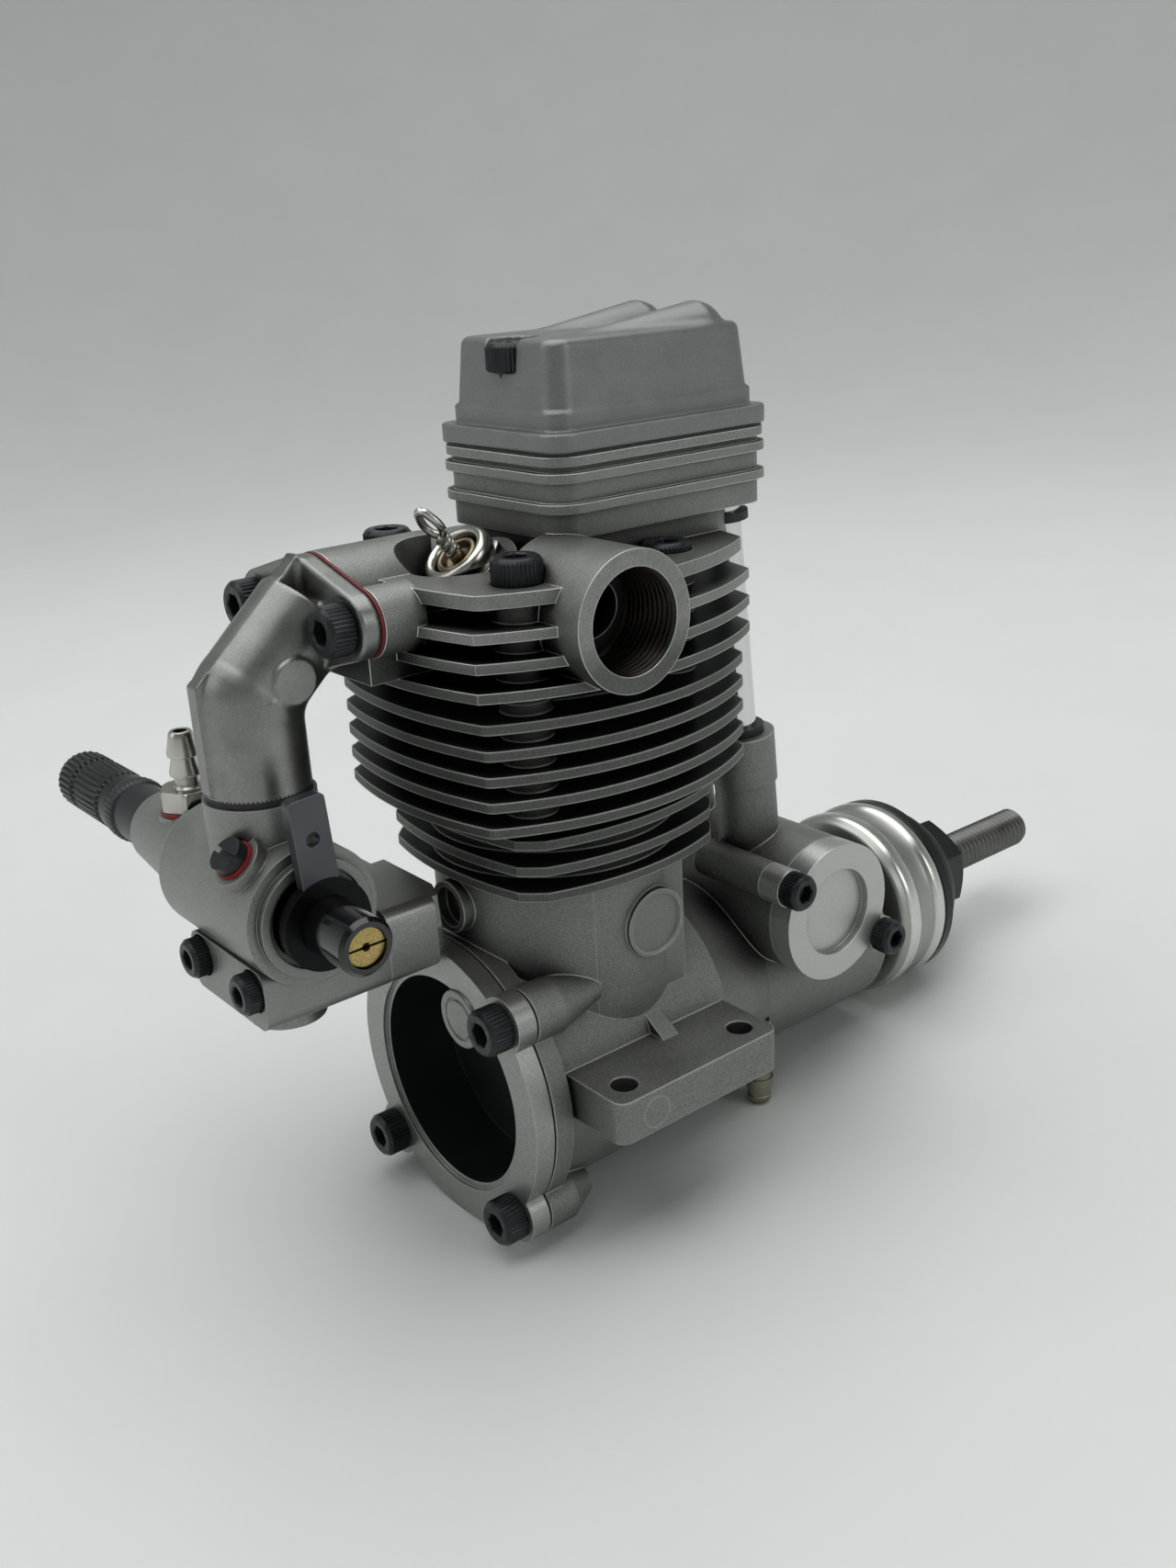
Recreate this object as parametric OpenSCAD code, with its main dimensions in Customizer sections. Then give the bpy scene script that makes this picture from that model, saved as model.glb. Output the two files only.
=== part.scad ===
// Four-stroke model aircraft engine with one cylinder and two overhead valves.
// The origin is where the crankshaft axis crosses the cylinder axis.
// +Y points forwards to the propeller, +Z up along the cylinder, +X to the exhaust side.
// The face under the mounting lugs lies in the plane z = 0, level with the crankshaft.

/* [Cylinder] */
// Diameter of the cylinder bore
bore_d = 23; // [22:0.1:23.6]
// Travel of the piston
stroke = 20.5; // [19.6:0.1:21]
// Length of the connecting rod between its two bores
rod_length = 30.85; // [30:0.05:32.5]
// Distance from the wrist pin up to the piston crown
pin_drop = 7.5; // [6.5:0.1:8.5]
// Gap left between the piston crown and the top of the cylinder
crown_gap = 0.4; // [0.3:0.05:0.8]
// Height of the piston
piston_h = 13; // [12:0.1:13.2]
// Wall of the cylinder liner
liner_wall = 1.3; // [1:0.1:1.5]
// Wall of the casting round the liner
jacket_wall = 1.9; // [1.7:0.1:2.4]
// Running clearance at the piston, on the radius
piston_fit = 0.05; // [0.03:0.01:0.1]

/* [Cooling fins] */
// Thickness of a fin
fin_t = 1.1; // [0.8:0.05:1.4]
// Distance from one large fin to the next
fin_pitch = 2.85; // [2.6:0.05:3]
// Number of large fins on the cylinder
fin_count = 5; // [3:1:5]
// Distance from one small fin to the next
small_pitch = 3.05; // [2.8:0.05:3.2]
// Reach of the large fins to each side
fin_reach_x = 19.4; // [18.5:0.1:21]
// Reach of the large fins to the front and back
fin_reach_y = 20.6; // [20:0.1:20.9]
// Number of head fins under the top plate
head_fin_count = 3; // [2:1:3]
// Distance from one head fin to the next
head_pitch = 3.1; // [2.8:0.05:3.2]
// Extra reach of the head fins past those of the cylinder
head_fin_extra = 0.9; // [0.2:0.1:1.2]
// Height of the cylinder head up to its top plate
head_h = 11.9; // [11.6:0.1:13]

/* [Crankcase] */
// Wall of the crankcase barrel
case_wall = 1.8; // [1.6:0.1:2.4]
// Distance from the cylinder axis back to the rear face of the crankcase
case_rear = 15.6; // [15.4:0.1:16.2]
// Outer radius of the front housing
nose_r = 12.6; // [12:0.1:13]
// Distance forwards to the end of the front housing
nose_end = 47; // [46:0.5:48]
// Distance across the lugs from edge to edge
lug_span = 50.7; // [48:0.1:53]
// Length of a lug from front to back
lug_length = 24.7; // [23:0.1:26]
// Thickness of a lug
lug_t = 5.2; // [4:0.1:6]
// Distance between the lug holes across the engine
lug_hole_x = 44; // [43:0.1:44.5]
// Distance between the lug holes along the engine
lug_hole_y = 18; // [16:0.1:18.4]
// Diameter of a lug hole
lug_hole_d = 3.2; // [3:0.1:3.6]

/* [Back cover] */
// Thickness of the cover flange
cover_t = 2.5; // [2:0.1:3]
// Depth of the dish in the cover
dish_depth = 9.5; // [8:0.1:9.8]
// Thickness of the dish floor
dish_floor = 1.6; // [1.2:0.1:2]
// Thickness of the paper gaskets
gasket_t = 0.3; // [0.2:0.05:0.4]
// Width of the arm where it meets the cover
arm_root_w = 12.3; // [11.5:0.1:14]
// Width of the pad at the end of the arm
arm_w = 17; // [16.8:0.1:19]
// Height of the arm
arm_h = 9.8; // [9:0.1:10.4]
// Distance back from the cylinder axis to the end face of the arm
arm_reach = 25.7; // [25.2:0.1:26]

/* [Carburettor] */
// Sideways offset of the carburettor and the inlet
carb_x = -5.9; // [-6.4:0.1:-5.6]
// Distance back to the carburettor axis
carb_back = 34.6; // [34.3:0.1:35.4]
// Height of the barrel axis
barrel_z = 28.3; // [28.2:0.1:29]
// Radius of the carburettor body
carb_r = 7.8; // [7.4:0.1:8]
// Height of the inlet socket rim
socket_z = 40; // [39:0.1:41.5]
// Outer radius of the inlet socket
socket_r = 6.1; // [5.9:0.05:6.4]
// Outer radius of the air intake under the body
intake_r = 4.35; // [4:0.05:4.8]
// Height of the open end of the air intake
intake_z = 13.4; // [12.5:0.1:15]
// Radius of the through passage
venturi_r = 3.1; // [2.6:0.1:3.4]
// Radius of the throttle barrel
barrel_r = 4.9; // [4.6:0.1:5]
// Radius of the barrel's outer end
spindle_r = 3.2; // [2.9:0.1:3.5]
// Distance from the carburettor centre to the end of the barrel
spindle_reach = 19.8; // [18.5:0.1:21]
// Length of the throttle arm from the axis to its rounded end
lever_len = 14.4; // [13:0.1:16]
// Width of the throttle arm
lever_w = 4.2; // [3.8:0.1:4.6]
// Opening angle of the throttle arm at rest, from upright
lever_angle = 4; // [0:1:8]
// Distance between the two clamp screws
clamp_pitch = 12; // [11.6:0.1:12.6]
// Distance from the carburettor centre to the end of the needle knob
needle_reach = 53; // [51:0.5:55]

/* [Inlet pipe] */
// Outer radius of the pipe at the bend
pipe_r = 5.6; // [5.4:0.1:5.8]
// Outer radius of the pipe at its lower end
pipe_end_r = 4.9; // [4.6:0.05:5]
// Bore radius of the pipe
pipe_bore_r = 3.2; // [2.8:0.1:3.5]
// Height of the inlet port above the head's joint face
port_rise = 8.7; // [8.4:0.1:9]
// Distance between the two flange screws
flange_pitch = 18.5; // [18:0.1:19.2]
// Thickness of the pipe flange
flange_t = 2.2; // [1.8:0.1:2.8]
// Distance back to the inlet port face
port_back = 24.8; // [24.3:0.1:25.2]

/* [Exhaust] */
// Distance out to the face of the exhaust boss
exhaust_reach = 21.5; // [21:0.1:23]
// Outer radius of the exhaust boss
exhaust_r = 7.55; // [7.2:0.05:7.8]
// Radius of the threaded exhaust bore
exhaust_bore_r = 5.7; // [5.2:0.1:5.8]
// Distance of the exhaust bore behind the cylinder axis
exhaust_back = 4.2; // [4:0.1:4.4]

/* [Rocker box] */
// Half the width of the rocker box
box_half = 10.6; // [10.4:0.1:11]
// Distance forwards to the front of the rocker box
box_front = 26.3; // [26:0.1:27]
// Distance back to the rear of the rocker box
box_rear = 4.7; // [4.5:0.1:5.2]
// Wall of the rocker box
box_wall = 1.4; // [1.2:0.1:1.6]
// Height of the rocker box above the head's top plate
box_h = 11.4; // [11.2:0.1:12.4]
// Height of the rocker cover above its joint
cover_h = 11.3; // [11:0.1:12.5]
// Height of the two bulges above the cover
bulge_h = 2.6; // [1.8:0.1:3]

/* [Valve gear] */
// Sideways distance of each valve from the cylinder axis
valve_x = 5.9; // [5.8:0.1:6.2]
// Radius of a valve head
valve_r = 4.5; // [4:0.1:4.8]
// Radius of a valve stem
stem_r = 1.25; // [1.1:0.05:1.4]
// Distance forwards to the pushrods at the height of the camshaft
push_y = 27.8; // [27.6:0.1:28.2]
// Lean of the pushrods towards the rear
push_lean = 4.8; // [4.5:0.1:5.2]
// Height of the pushrod tips above the camshaft, along the rod
pushrod_len = 60; // [59.6:0.1:60.4]
// Distance forwards to the camshaft axis
cam_y = 30; // [29.6:0.1:30.4]
// Height of the camshaft axis above the crankshaft axis
cam_z = 12.1; // [11.9:0.1:12.5]
// Distance out to the face of the cam cover
cam_face = 18.7; // [18.2:0.1:19.4]
// Radius of the cam cover flange
cam_cover_r = 9; // [8.8:0.1:9.4]
// Radius of the round window in the cam cover
cam_window_r = 5.7; // [5:0.1:6]
// Metal left between the rim circle of the cam cover and its screw holes
cam_screw_gap = 0.1; // [0.05:0.05:0.4]
// Outer radius of a pushrod tube
tube_r = 2; // [1.8:0.05:2.2]
// Length of the sockets that hold the pushrod tubes, along the tube
tower_len = 22.4; // [21:0.1:24]

/* [Propeller shaft] */
// Radius of the propeller driver
driver_r = 13.4; // [12:0.1:14]
// Thickness of the propeller driver
driver_t = 9.1; // [8:0.1:10]
// Gap between the front housing and the propeller driver
driver_gap = 3.2; // [2.6:0.1:4]
// Radius of the shaft's thread
thread_r = 3; // [2.8:0.1:3.1]
// Distance forwards to the tip of the shaft
shaft_tip = 93.6; // [90:0.5:97]
// Distance across the flats of the propeller nut
nut_flats = 12.6; // [11:0.1:13]
// Height of the propeller nut
nut_h = 8; // [6:0.1:9]
// Radius of the front journal
journal_r = 3.5; // [3.4:0.05:3.7]
// Radius of the rear journal
main_r = 6; // [5.8:0.1:6.2]

/* [Screws] */
// Diameter of the large cap screws
big_screw_d = 3; // [2.8:0.1:3.2]
// Diameter of the small cap screws
small_screw_d = 2.5; // [2.3:0.1:2.6]

/* [Hidden] */

$fn = 64;
cut = 0.5;
fit = 0.02;
gap = 0.3;

throw = stroke / 2;
bore_r = bore_d / 2;
piston_r = bore_r - piston_fit;
liner_r = bore_r + liner_wall;
base_r = liner_r + jacket_wall;
pin_z = throw + rod_length;
crown_z = pin_z + pin_drop;
deck_z = crown_z + crown_gap;
skirt_z = crown_z - piston_h;

big_end_r = 4.1;
crank_pin_r = 2.6;
rod_half = 2.5;
wrist_r = 2.5;
cavity_r = throw + big_end_r + 0.35;
liner_foot = cavity_r + 0.6;
case_r = cavity_r + case_wall;
web_back = rod_half + 1.5;
web_front = 12;
web_r = min(12.2, skirt_z - stroke - 0.4);

rear_y = -case_rear;
flange_back = rear_y - gasket_t - cover_t;
cover_screw_r = cavity_r + 2.9;
cover_ring_r = cavity_r + 3;
screw_at = cover_screw_r * cos(45);
dish_r = cavity_r - 1.6;
dish_y = flange_back + dish_depth;
ear_r = 3.4;

cam_screw_at = cam_cover_r + small_screw_d / 2 + 0.1 + cam_screw_gap;

clamp_z = barrel_z - carb_r + 0.2;
arm_top = clamp_z + arm_h / 2 - 0.4;
arm_low = arm_top - arm_h;

fin_a_z = deck_z - 1.3;
small_top_z = fin_a_z - (fin_count - 1) * fin_pitch - small_pitch;
base_top_z = small_top_z - 2 * small_pitch;

head_z = deck_z + gasket_t;
top_z = head_z + head_h;
chamber_h = 3.4;
seat_z = head_z + chamber_h;
port_z = head_z + port_rise;
exhaust_z = head_z + 7.7;
valve_y = 1;

box_z = top_z + 2.7;
joint_z = top_z + box_h;
cover_z = joint_z + gasket_t;
roof_z = cover_z + cover_h;

floor_z = box_z + 1.4;
spring_seat_z = top_z + 1;
rocker_y = 12.3;
rocker_z = joint_z - 3;
rocker_w = 3.4;
rocker_r = 3.2;
shaft_r = 1.8;
pad_r = 1.1;
stem_top = rocker_z + 3;
retainer_z = stem_top - 2.7;

tube_low = 19;
tube_top = (box_z + 0.9 - cam_z) / cos(push_lean);
push_tip_y = push_y - pushrod_len * sin(push_lean);
push_tip_z = cam_z + pushrod_len * cos(push_lean);
base_circle = 3.4;
lobe_r = 5.2;
tappet_r = 2.1;
tappet_foot = lobe_r + gap;

gear_split = 0.42;
crank_gear_r = cam_z * gear_split - 0.15;
cam_gear_r = cam_z * (1 - gear_split) - 0.15;

driver_back = nose_end + driver_gap;
driver_front = driver_back + driver_t;
washer_step = driver_front + 1.8;
washer_front = washer_step + 3.5;
nut_front = washer_front + nut_h;

bearing_r = 12;
bearing_w = 6;
bearing_y = 13.2;
nose_bearing_r = 9.5;
nose_bearing_y = nose_end - 6.6;

lug_hole_r = lug_hole_d / 2;
head_screw_x = 12.2;
head_screw_rear = -11.9;
head_screw_front = 8.6;

plug_x = 0.5;
plug_tilt = 38;
plug_y = -11.3;
plug_z = top_z + 1.3;

carb_y = -carb_back;
bezel_x = 9.9;
clamp_seat = carb_y - 6;
nipple_x = carb_x - 18.7;
nipple_z = barrel_z + 4.6;
nipple_top = nipple_z + 9.8;
holder_end = -36.8;
guide_seat = carb_r + 1.2;
guide_x = 4.7;
thread_core_r = thread_r - 0.4;
socket_floor_z = socket_z - 6;
tube_end_z = socket_floor_z + 0.3;
pipe_flange_y = -port_back - 0.4 - flange_t;
mitre = 22.5;
bend_z = port_z + carb_y - pipe_flange_y;
box_mid = (box_front - box_rear) / 2;
cam_journal_r = 2.2;
cover_screw_rear = -box_rear + 2.8;
cover_screw_front = box_front - 2.9;
cover_seat_z = roof_z - 3.4;
rear_seat_z = top_z - 0.2;
front_seat_z = top_z - 2;

// Flat shapes

module link(a, r1, b, r2) {
    // A bar with round ends from point a to point b.
    hull() {
        translate(a) circle(r1, $fn = 48);
        translate(b) circle(r2, $fn = 32);
    }
}

module rounded(x0, x1, y0, y1, r) {
    translate([x0 + r, y0]) square([x1 - x0 - 2 * r, y1 - y0]);
    translate([x0, y0 + r]) square([x1 - x0, y1 - y0 - 2 * r]);
    for (x = [x0 + r, x1 - r], y = [y0 + r, y1 - r]) translate([x, y]) circle(r);
}

module fin_outline(half_x, half_y) {
    // Four large arcs bow each side outwards and a fifth circle blunts the corners.
    side_r = 34;
    end_r = 48;
    intersection() {
        translate([half_x - side_r, 0]) circle(side_r);
        translate([side_r - half_x, 0]) circle(side_r);
        translate([0, half_y - end_r]) circle(end_r);
        translate([0, end_r - half_y]) circle(end_r);
        circle(norm([half_x, half_y]) * 0.815);
    }
}

// Solids along an axis

module along_y(y0, y1, r1, r2) {
    translate([0, y0, 0]) rotate([-90, 0, 0]) cylinder(h = y1 - y0, r1 = r1, r2 = r2);
}

module rod_y(y0, y1, r) {
    along_y(y0, y1, r, r);
}

module rod_x(x0, x1, r) {
    translate([x0, 0, 0]) rotate([0, 90, 0]) cylinder(h = x1 - x0, r = r);
}

module rod_z(z0, z1, r) {
    translate([0, 0, z0]) cylinder(h = z1 - z0, r = r);
}

module extrude_y(y0, y1) {
    // The flat shape's X stays X and its Y becomes Z.
    translate([0, y1, 0]) rotate([90, 0, 0]) linear_extrude(y1 - y0) children();
}

module extrude_x(x0, x1) {
    // The flat shape's X becomes Y and its Y becomes Z.
    translate([x0, 0, 0]) rotate([90, 0, 90]) linear_extrude(x1 - x0) children();
}

module block(x0, x1, y0, y1, z0, z1) {
    translate([x0, y0, z0]) cube([x1 - x0, y1 - y0, z1 - z0]);
}

module cap_screw(d, length) {
    // The head stands on z = 0 with its hexagon socket upwards and the shank below.
    head_r = 0.92 * d;
    difference() {
        union() {
            cylinder(h = d - 0.3, r = head_r);
            translate([0, 0, d - 0.3]) cylinder(h = 0.3, r1 = head_r, r2 = head_r - 0.3);
        }
        translate([0, 0, d * 0.45]) cylinder(h = d, r = d * 0.48, $fn = 6);
    }
    translate([0, 0, -length]) cylinder(h = length + 0.1, r = d / 2);
}

module ring_z(z0, z1, r_out, r_in) {
    difference() {
        rod_z(z0, z1, r_out);
        rod_z(z0 - cut, z1 + cut, r_in);
    }
}

// Places shared by a screw, its hole and its boss

module at_cover_screws() {
    for (x = [-screw_at, screw_at], z = [-screw_at, screw_at]) translate([x, 0, z]) children();
}

module at_head_screws() {
    for (x = [-head_screw_x, head_screw_x], y = [head_screw_rear, head_screw_front]) {
        translate([x, y, 0]) children();
    }
}

module at_lug_holes() {
    for (x = [-lug_hole_x / 2, lug_hole_x / 2], y = [-lug_hole_y / 2, lug_hole_y / 2]) {
        translate([x, y, 0]) children();
    }
}

module at_cam_screws() {
    translate([0, cam_y, cam_z]) rotate([-35, 0, 0]) {
        for (s = [-1, 1]) translate([0, s * cam_screw_at, 0]) children();
    }
}

module at_pushrods() {
    for (s = [-1, 1]) at_pushrod(s) children();
}

module at_pushrod(side) {
    translate([side * valve_x, push_y, cam_z]) rotate([push_lean, 0, 0]) children();
}

module at_plug() {
    translate([plug_x, plug_y, plug_z]) rotate([plug_tilt, 0, 0]) children();
}

module at_clamp_screws() {
    for (s = [-1, 1]) translate([carb_x + s * clamp_pitch / 2, 0, clamp_z]) children();
}

module at_flange_screws() {
    for (s = [-1, 1]) translate([carb_x + s * flange_pitch / 2, 0, port_z]) children();
}

// Crankcase

module crankcase() {
    color("gray") difference() {
        union() {
            case_barrel();
            case_base();
            case_fins();
            case_lugs();
            cam_housing();
            pushrod_towers();
            rear_boss();
        }
        case_bores();
        cam_bores();
        at_lug_holes() rod_z(-cut, lug_t + cut, lug_hole_r);
        at_head_screws() rod_z(deck_z - 12, deck_z + cut, big_screw_d / 2 + fit);
        at_cover_screws() rod_y(rear_y - cut, rear_y + 7, big_screw_d / 2 + fit);
    }
}

module case_barrel() {
    rod_y(rear_y, 13, case_r);
    along_y(13, 24, case_r, nose_r);
    rod_y(24, nose_end, nose_r);
    rod_y(rear_y, rear_y + 2.5, cover_ring_r);
    for (x = [-screw_at, screw_at], z = [-screw_at, screw_at]) {
        reach = z > 0 ? 10.5 : 7.5;
        translate([x, 0, z]) rod_y(rear_y, rear_y + 4, ear_r);
        translate([x, 0, z]) along_y(rear_y + 4, rear_y + reach, ear_r, 1.6);
    }
}

module case_base() {
    rod_z(0, deck_z, base_r);
    block(-13.7, 13.7, -5.4, 8.2, 4, base_top_z - 1.4);
    // The raised disc on the exhaust side has a rim and a bare, slightly sunk middle.
    translate([0, 2.6, 18.8]) difference() {
        rod_x(10, 15.3, 4.2);
        rod_x(15, 16, 3.7);
    }
}

module case_fins() {
    for (i = [0 : fin_count - 1]) {
        translate([0, 0, fin_a_z - fin_t - i * fin_pitch]) {
            linear_extrude(fin_t) fin_outline(fin_reach_x, fin_reach_y);
        }
    }
    for (i = [0 : 2]) {
        translate([0, 0, small_top_z - fin_t - i * small_pitch]) {
            linear_extrude(fin_t) fin_outline(fin_reach_x - 2.7, fin_reach_y - 4.6);
        }
    }
    at_head_screws() rod_z(deck_z - 13, deck_z, 2.8);
}

module case_lugs() {
    linear_extrude(lug_t) {
        rounded(-lug_span / 2, lug_span / 2, -lug_length / 2, lug_length / 2, 1.5);
    }
    // A gusset rises from each lug to the casting.
    for (s = [-1, 1]) {
        extrude_y(0.6, 3) {
            polygon([[s * 12, lug_t - 0.5], [s * 18, lug_t - 0.5], [s * 18, lug_t], [s * 12, lug_t + 4]]);
        }
    }
}

module cam_housing() {
    translate([0, cam_y, cam_z]) {
        rod_x(-cam_face + 4, cam_face - 3.2, cam_cover_r);
    }
    block(-9, 9, cam_y - 8, cam_y + 8, 0, cam_z);
    at_cam_screws() rod_x(4, cam_face - 3.2, 2.4);
}

module pushrod_towers() {
    at_pushrods() {
        rod_z(0, tower_len, 3.9);
        rod_z(tower_len - 6.5, tower_len, 4.2);
    }
}

module rear_boss() {
    // A boss with a blind hole looks rearwards just above the back cover.
    translate([0, 0, base_top_z - 5.1]) difference() {
        rod_y(-15.9, -8, 3.15);
        rod_y(-16.5, -liner_r - 0.5, 2.4);
    }
}

module case_bores() {
    rod_y(rear_y - cut, web_front + 0.4, cavity_r);
    rod_y(web_front, bearing_y + bearing_w, bearing_r + fit);
    rod_y(bearing_y, nose_bearing_y + 1, 7.2);
    rod_y(nose_bearing_y, nose_end + cut, nose_bearing_r + fit);
    rod_z(0, deck_z + cut, bore_r);
    rod_z(liner_foot, deck_z + cut, liner_r + fit);
    rod_z(deck_z - 1.5, deck_z + cut, liner_r + 1 + fit);
    translate([11.7, 22.6, 0]) rod_z(-8.5, -3, 1.6 + fit);
}

module cam_bores() {
    translate([0, cam_y, cam_z]) {
        rod_x(-9.2, cam_face, 7.6);
        rod_x(-cam_face + 5.4, 0, 4.5 + fit);
    }
    at_cam_screws() rod_x(cam_face - 11, cam_face, small_screw_d / 2 + fit);
    at_pushrods() {
        rod_z(0, tube_low + 1, tappet_r + 0.03);
        rod_z(tube_low, tower_len + cut, tube_r + fit);
    }
}

module cylinder_liner() {
    color("silver") difference() {
        union() {
            rod_z(liner_foot, deck_z, liner_r);
            rod_z(deck_z - 1.5, deck_z, liner_r + 1);
        }
        rod_z(liner_foot - cut, deck_z + cut, bore_r);
        at_head_screws() rod_z(deck_z - 2, deck_z + cut, big_screw_d / 2 + fit);
    }
}

// Cylinder head

module cylinder_head() {
    color("gray") difference() {
        union() {
            head_body();
            rocker_box();
            inlet_block();
            translate([0, -exhaust_back, exhaust_z]) rod_x(8, exhaust_reach, exhaust_r);
            at_plug() rod_z(-12, -3.4, 5.6);
        }
        head_ports();
        box_inside();
        at_head_screws() rod_z(head_z - cut, top_z + cut, big_screw_d / 2 + 0.1);
        screw_pockets();
        at_plug() {
            rod_z(-16, 0, 3.02);
            rod_z(-3.4, 9, 5.1);
        }
    }
    color("gray") rocker_post();
}

module head_body() {
    rod_z(head_z, top_z, base_r);
    translate([0, 0, top_z - 1.5]) linear_extrude(1.5) fin_outline(fin_reach_x, fin_reach_y);
    for (i = [0 : head_fin_count - 1]) {
        translate([0, 0, top_z - 3.7 - fin_t - i * head_pitch]) {
            linear_extrude(fin_t) fin_outline(fin_reach_x + head_fin_extra, fin_reach_y + head_fin_extra);
        }
    }
    at_head_screws() rod_z(head_z, top_z, 2.9);
}

module rocker_box() {
    flat = box_rear - 1.2;
    translate([0, 0, top_z - 1]) linear_extrude(4) rounded(-9.2, 9.2, -flat, box_front - 4, 3);
    translate([0, 0, box_z]) linear_extrude(joint_z - box_z) box_outline(0);
    for (z = [joint_z - 2.2, joint_z - 5.4]) {
        translate([0, 0, z - 0.5]) linear_extrude(1) box_outline(0.8);
    }
    translate([0, 0, joint_z - 1]) linear_extrude(1) box_outline(0.6);
}

module box_outline(extra) {
    rounded(-box_half - extra, box_half + extra, -box_rear - extra, box_front + extra, 3 + extra);
}

module box_inside() {
    translate([0, 0, floor_z]) linear_extrude(joint_z) difference() {
        box_outline(-box_wall);
        for (y = [cover_screw_rear, cover_screw_front]) translate([0, y]) circle(2.6);
    }
    for (s = [-1, 1]) {
        translate([s * valve_x, valve_y, 0]) rod_z(spring_seat_z, floor_z + cut, 2.95);
    }
    for (y = [cover_screw_rear, cover_screw_front]) {
        translate([0, y, 0]) rod_z(box_z + 1, joint_z + cut, big_screw_d / 2 + fit);
    }
    at_pushrods() rod_z(tube_top - 6, tube_top, tube_r + fit);
    at_pushrods() rod_z(tube_top - cut, tube_top + 4, tube_r - 0.4);
    at_pushrods() rod_z(tube_top - 3.2 - fit, tube_top - 2.2 + fit, tube_r + 0.9 + fit);
}

module rocker_post() {
    // The middle post carries the rocker shaft.
    difference() {
        extrude_x(-1.7, 1.7) {
            translate([rocker_y - 3, floor_z - 0.2]) square([6, rocker_z - floor_z + 0.2]);
            translate([rocker_y, rocker_z]) circle(3);
        }
        translate([0, rocker_y, rocker_z]) rod_x(-3, 3, shaft_r + fit);
    }
}

module inlet_block() {
    half = 8.9;
    extrude_y(-port_back, -11) {
        translate([carb_x, port_z]) circle(6.3);
        translate([carb_x - half, port_z - 6.8]) square([2 * half, 9.4]);
    }
    at_flange_screws() rod_y(-port_back, -port_back + 5, 3.7);
}

module head_ports() {
    rod_z(head_z - cut, seat_z, bore_r - 0.3);
    for (s = [-1, 1]) translate([s * valve_x, valve_y, 0]) {
        rod_z(seat_z - cut, port_z, 3.8);
        rod_z(port_z - 1, floor_z, stem_r + 0.03);
    }
    translate([carb_x, 0, port_z]) rod_y(-port_back - cut, valve_y, pipe_bore_r - 0.2);
    at_flange_screws() rod_y(-port_back - cut, -port_back + 6, big_screw_d / 2 + fit);
    port_run = [exhaust_reach - 7.5 - valve_x, -exhaust_back - valve_y];
    translate([0, -exhaust_back, exhaust_z]) rod_x(exhaust_reach - 8, exhaust_reach + cut, exhaust_bore_r);
    translate([valve_x, valve_y, exhaust_z]) rotate([0, 0, atan2(port_run[1], port_run[0])]) {
        rod_x(0, norm(port_run) + 1, 3.3);
    }
}

module screw_pockets() {
    for (x = [-head_screw_x, head_screw_x]) {
        translate([x, head_screw_rear, 0]) rod_z(rear_seat_z, top_z + 9, 2.95);
        translate([x, head_screw_front, 0]) rod_z(front_seat_z, box_z, 2.95);
    }
}

module head_gasket() {
    color("dimgray") translate([0, 0, deck_z]) linear_extrude(gasket_t) difference() {
        union() {
            circle(base_r - 0.2);
            at_head_screws() circle(2.8);
        }
        circle(bore_r);
        at_head_screws() circle(big_screw_d / 2 + fit);
    }
}

module head_screws() {
    color("darkslategray") for (x = [-head_screw_x, head_screw_x]) {
        translate([x, head_screw_rear, rear_seat_z]) cap_screw(big_screw_d, rear_seat_z - deck_z + 11);
        translate([x, head_screw_front, front_seat_z]) cap_screw(big_screw_d, front_seat_z - deck_z + 11);
    }
}

module rocker_cover_gasket() {
    color("dimgray") translate([0, 0, joint_z]) linear_extrude(gasket_t) difference() {
        box_outline(0.5);
        difference() {
            box_outline(-box_wall);
            for (y = [cover_screw_rear, cover_screw_front]) translate([0, y]) circle(2.6);
        }
        for (y = [cover_screw_rear, cover_screw_front]) translate([0, y]) circle(big_screw_d / 2 + 0.1);
    }
}

module rocker_cover() {
    color("gray") difference() {
        union() {
            translate([0, 0, cover_z]) linear_extrude(2.1) box_outline(0.6);
            translate([0, 0, cover_z + 2]) linear_extrude(2.1) box_outline(-0.8);
            translate([0, box_mid, cover_z + 4]) {
                linear_extrude(cover_h - 4, scale = [0.93, 0.965], slices = 1) {
                    translate([0, -box_mid]) box_outline(-0.9, $fn = 32);
                }
            }
            for (s = [-1, 1]) cover_bulge(s);
        }
        translate([0, 0, cover_z - cut]) linear_extrude(cover_h - 2.2 + cut) difference() {
            box_outline(-2.1);
            for (y = [cover_screw_rear, cover_screw_front]) translate([0, y]) circle(3.6);
        }
        for (y = [cover_screw_rear, cover_screw_front]) {
            translate([0, y, 0]) rod_z(cover_z - cut, roof_z, big_screw_d / 2 + 0.1);
            translate([0, y, 0]) rod_z(cover_seat_z, roof_z + cut, 3.2);
        }
        block(-2.3, 2.3, -box_rear - 2, cover_screw_rear, cover_seat_z, roof_z + cut);
        block(-3.2, 3.2, cover_screw_front, box_front + 2, cover_seat_z, roof_z + cut);
    }
}

module cover_bulge(side) {
    // A teardrop that is highest over the pushrod and runs out towards the valve.
    hull() {
        translate([side * 5, box_front - 6.2, roof_z - 2.2]) sphere(bulge_h + 2, $fn = 32);
        translate([side * 4.6, 4, roof_z - 1.6]) sphere(1.6, $fn = 24);
    }
}

module rocker_cover_screws() {
    color("darkslategray") for (y = [cover_screw_rear, cover_screw_front]) {
        translate([0, y, cover_seat_z]) cap_screw(big_screw_d, cover_seat_z - joint_z + 7);
    }
}

// Back cover and carburettor arm

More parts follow.
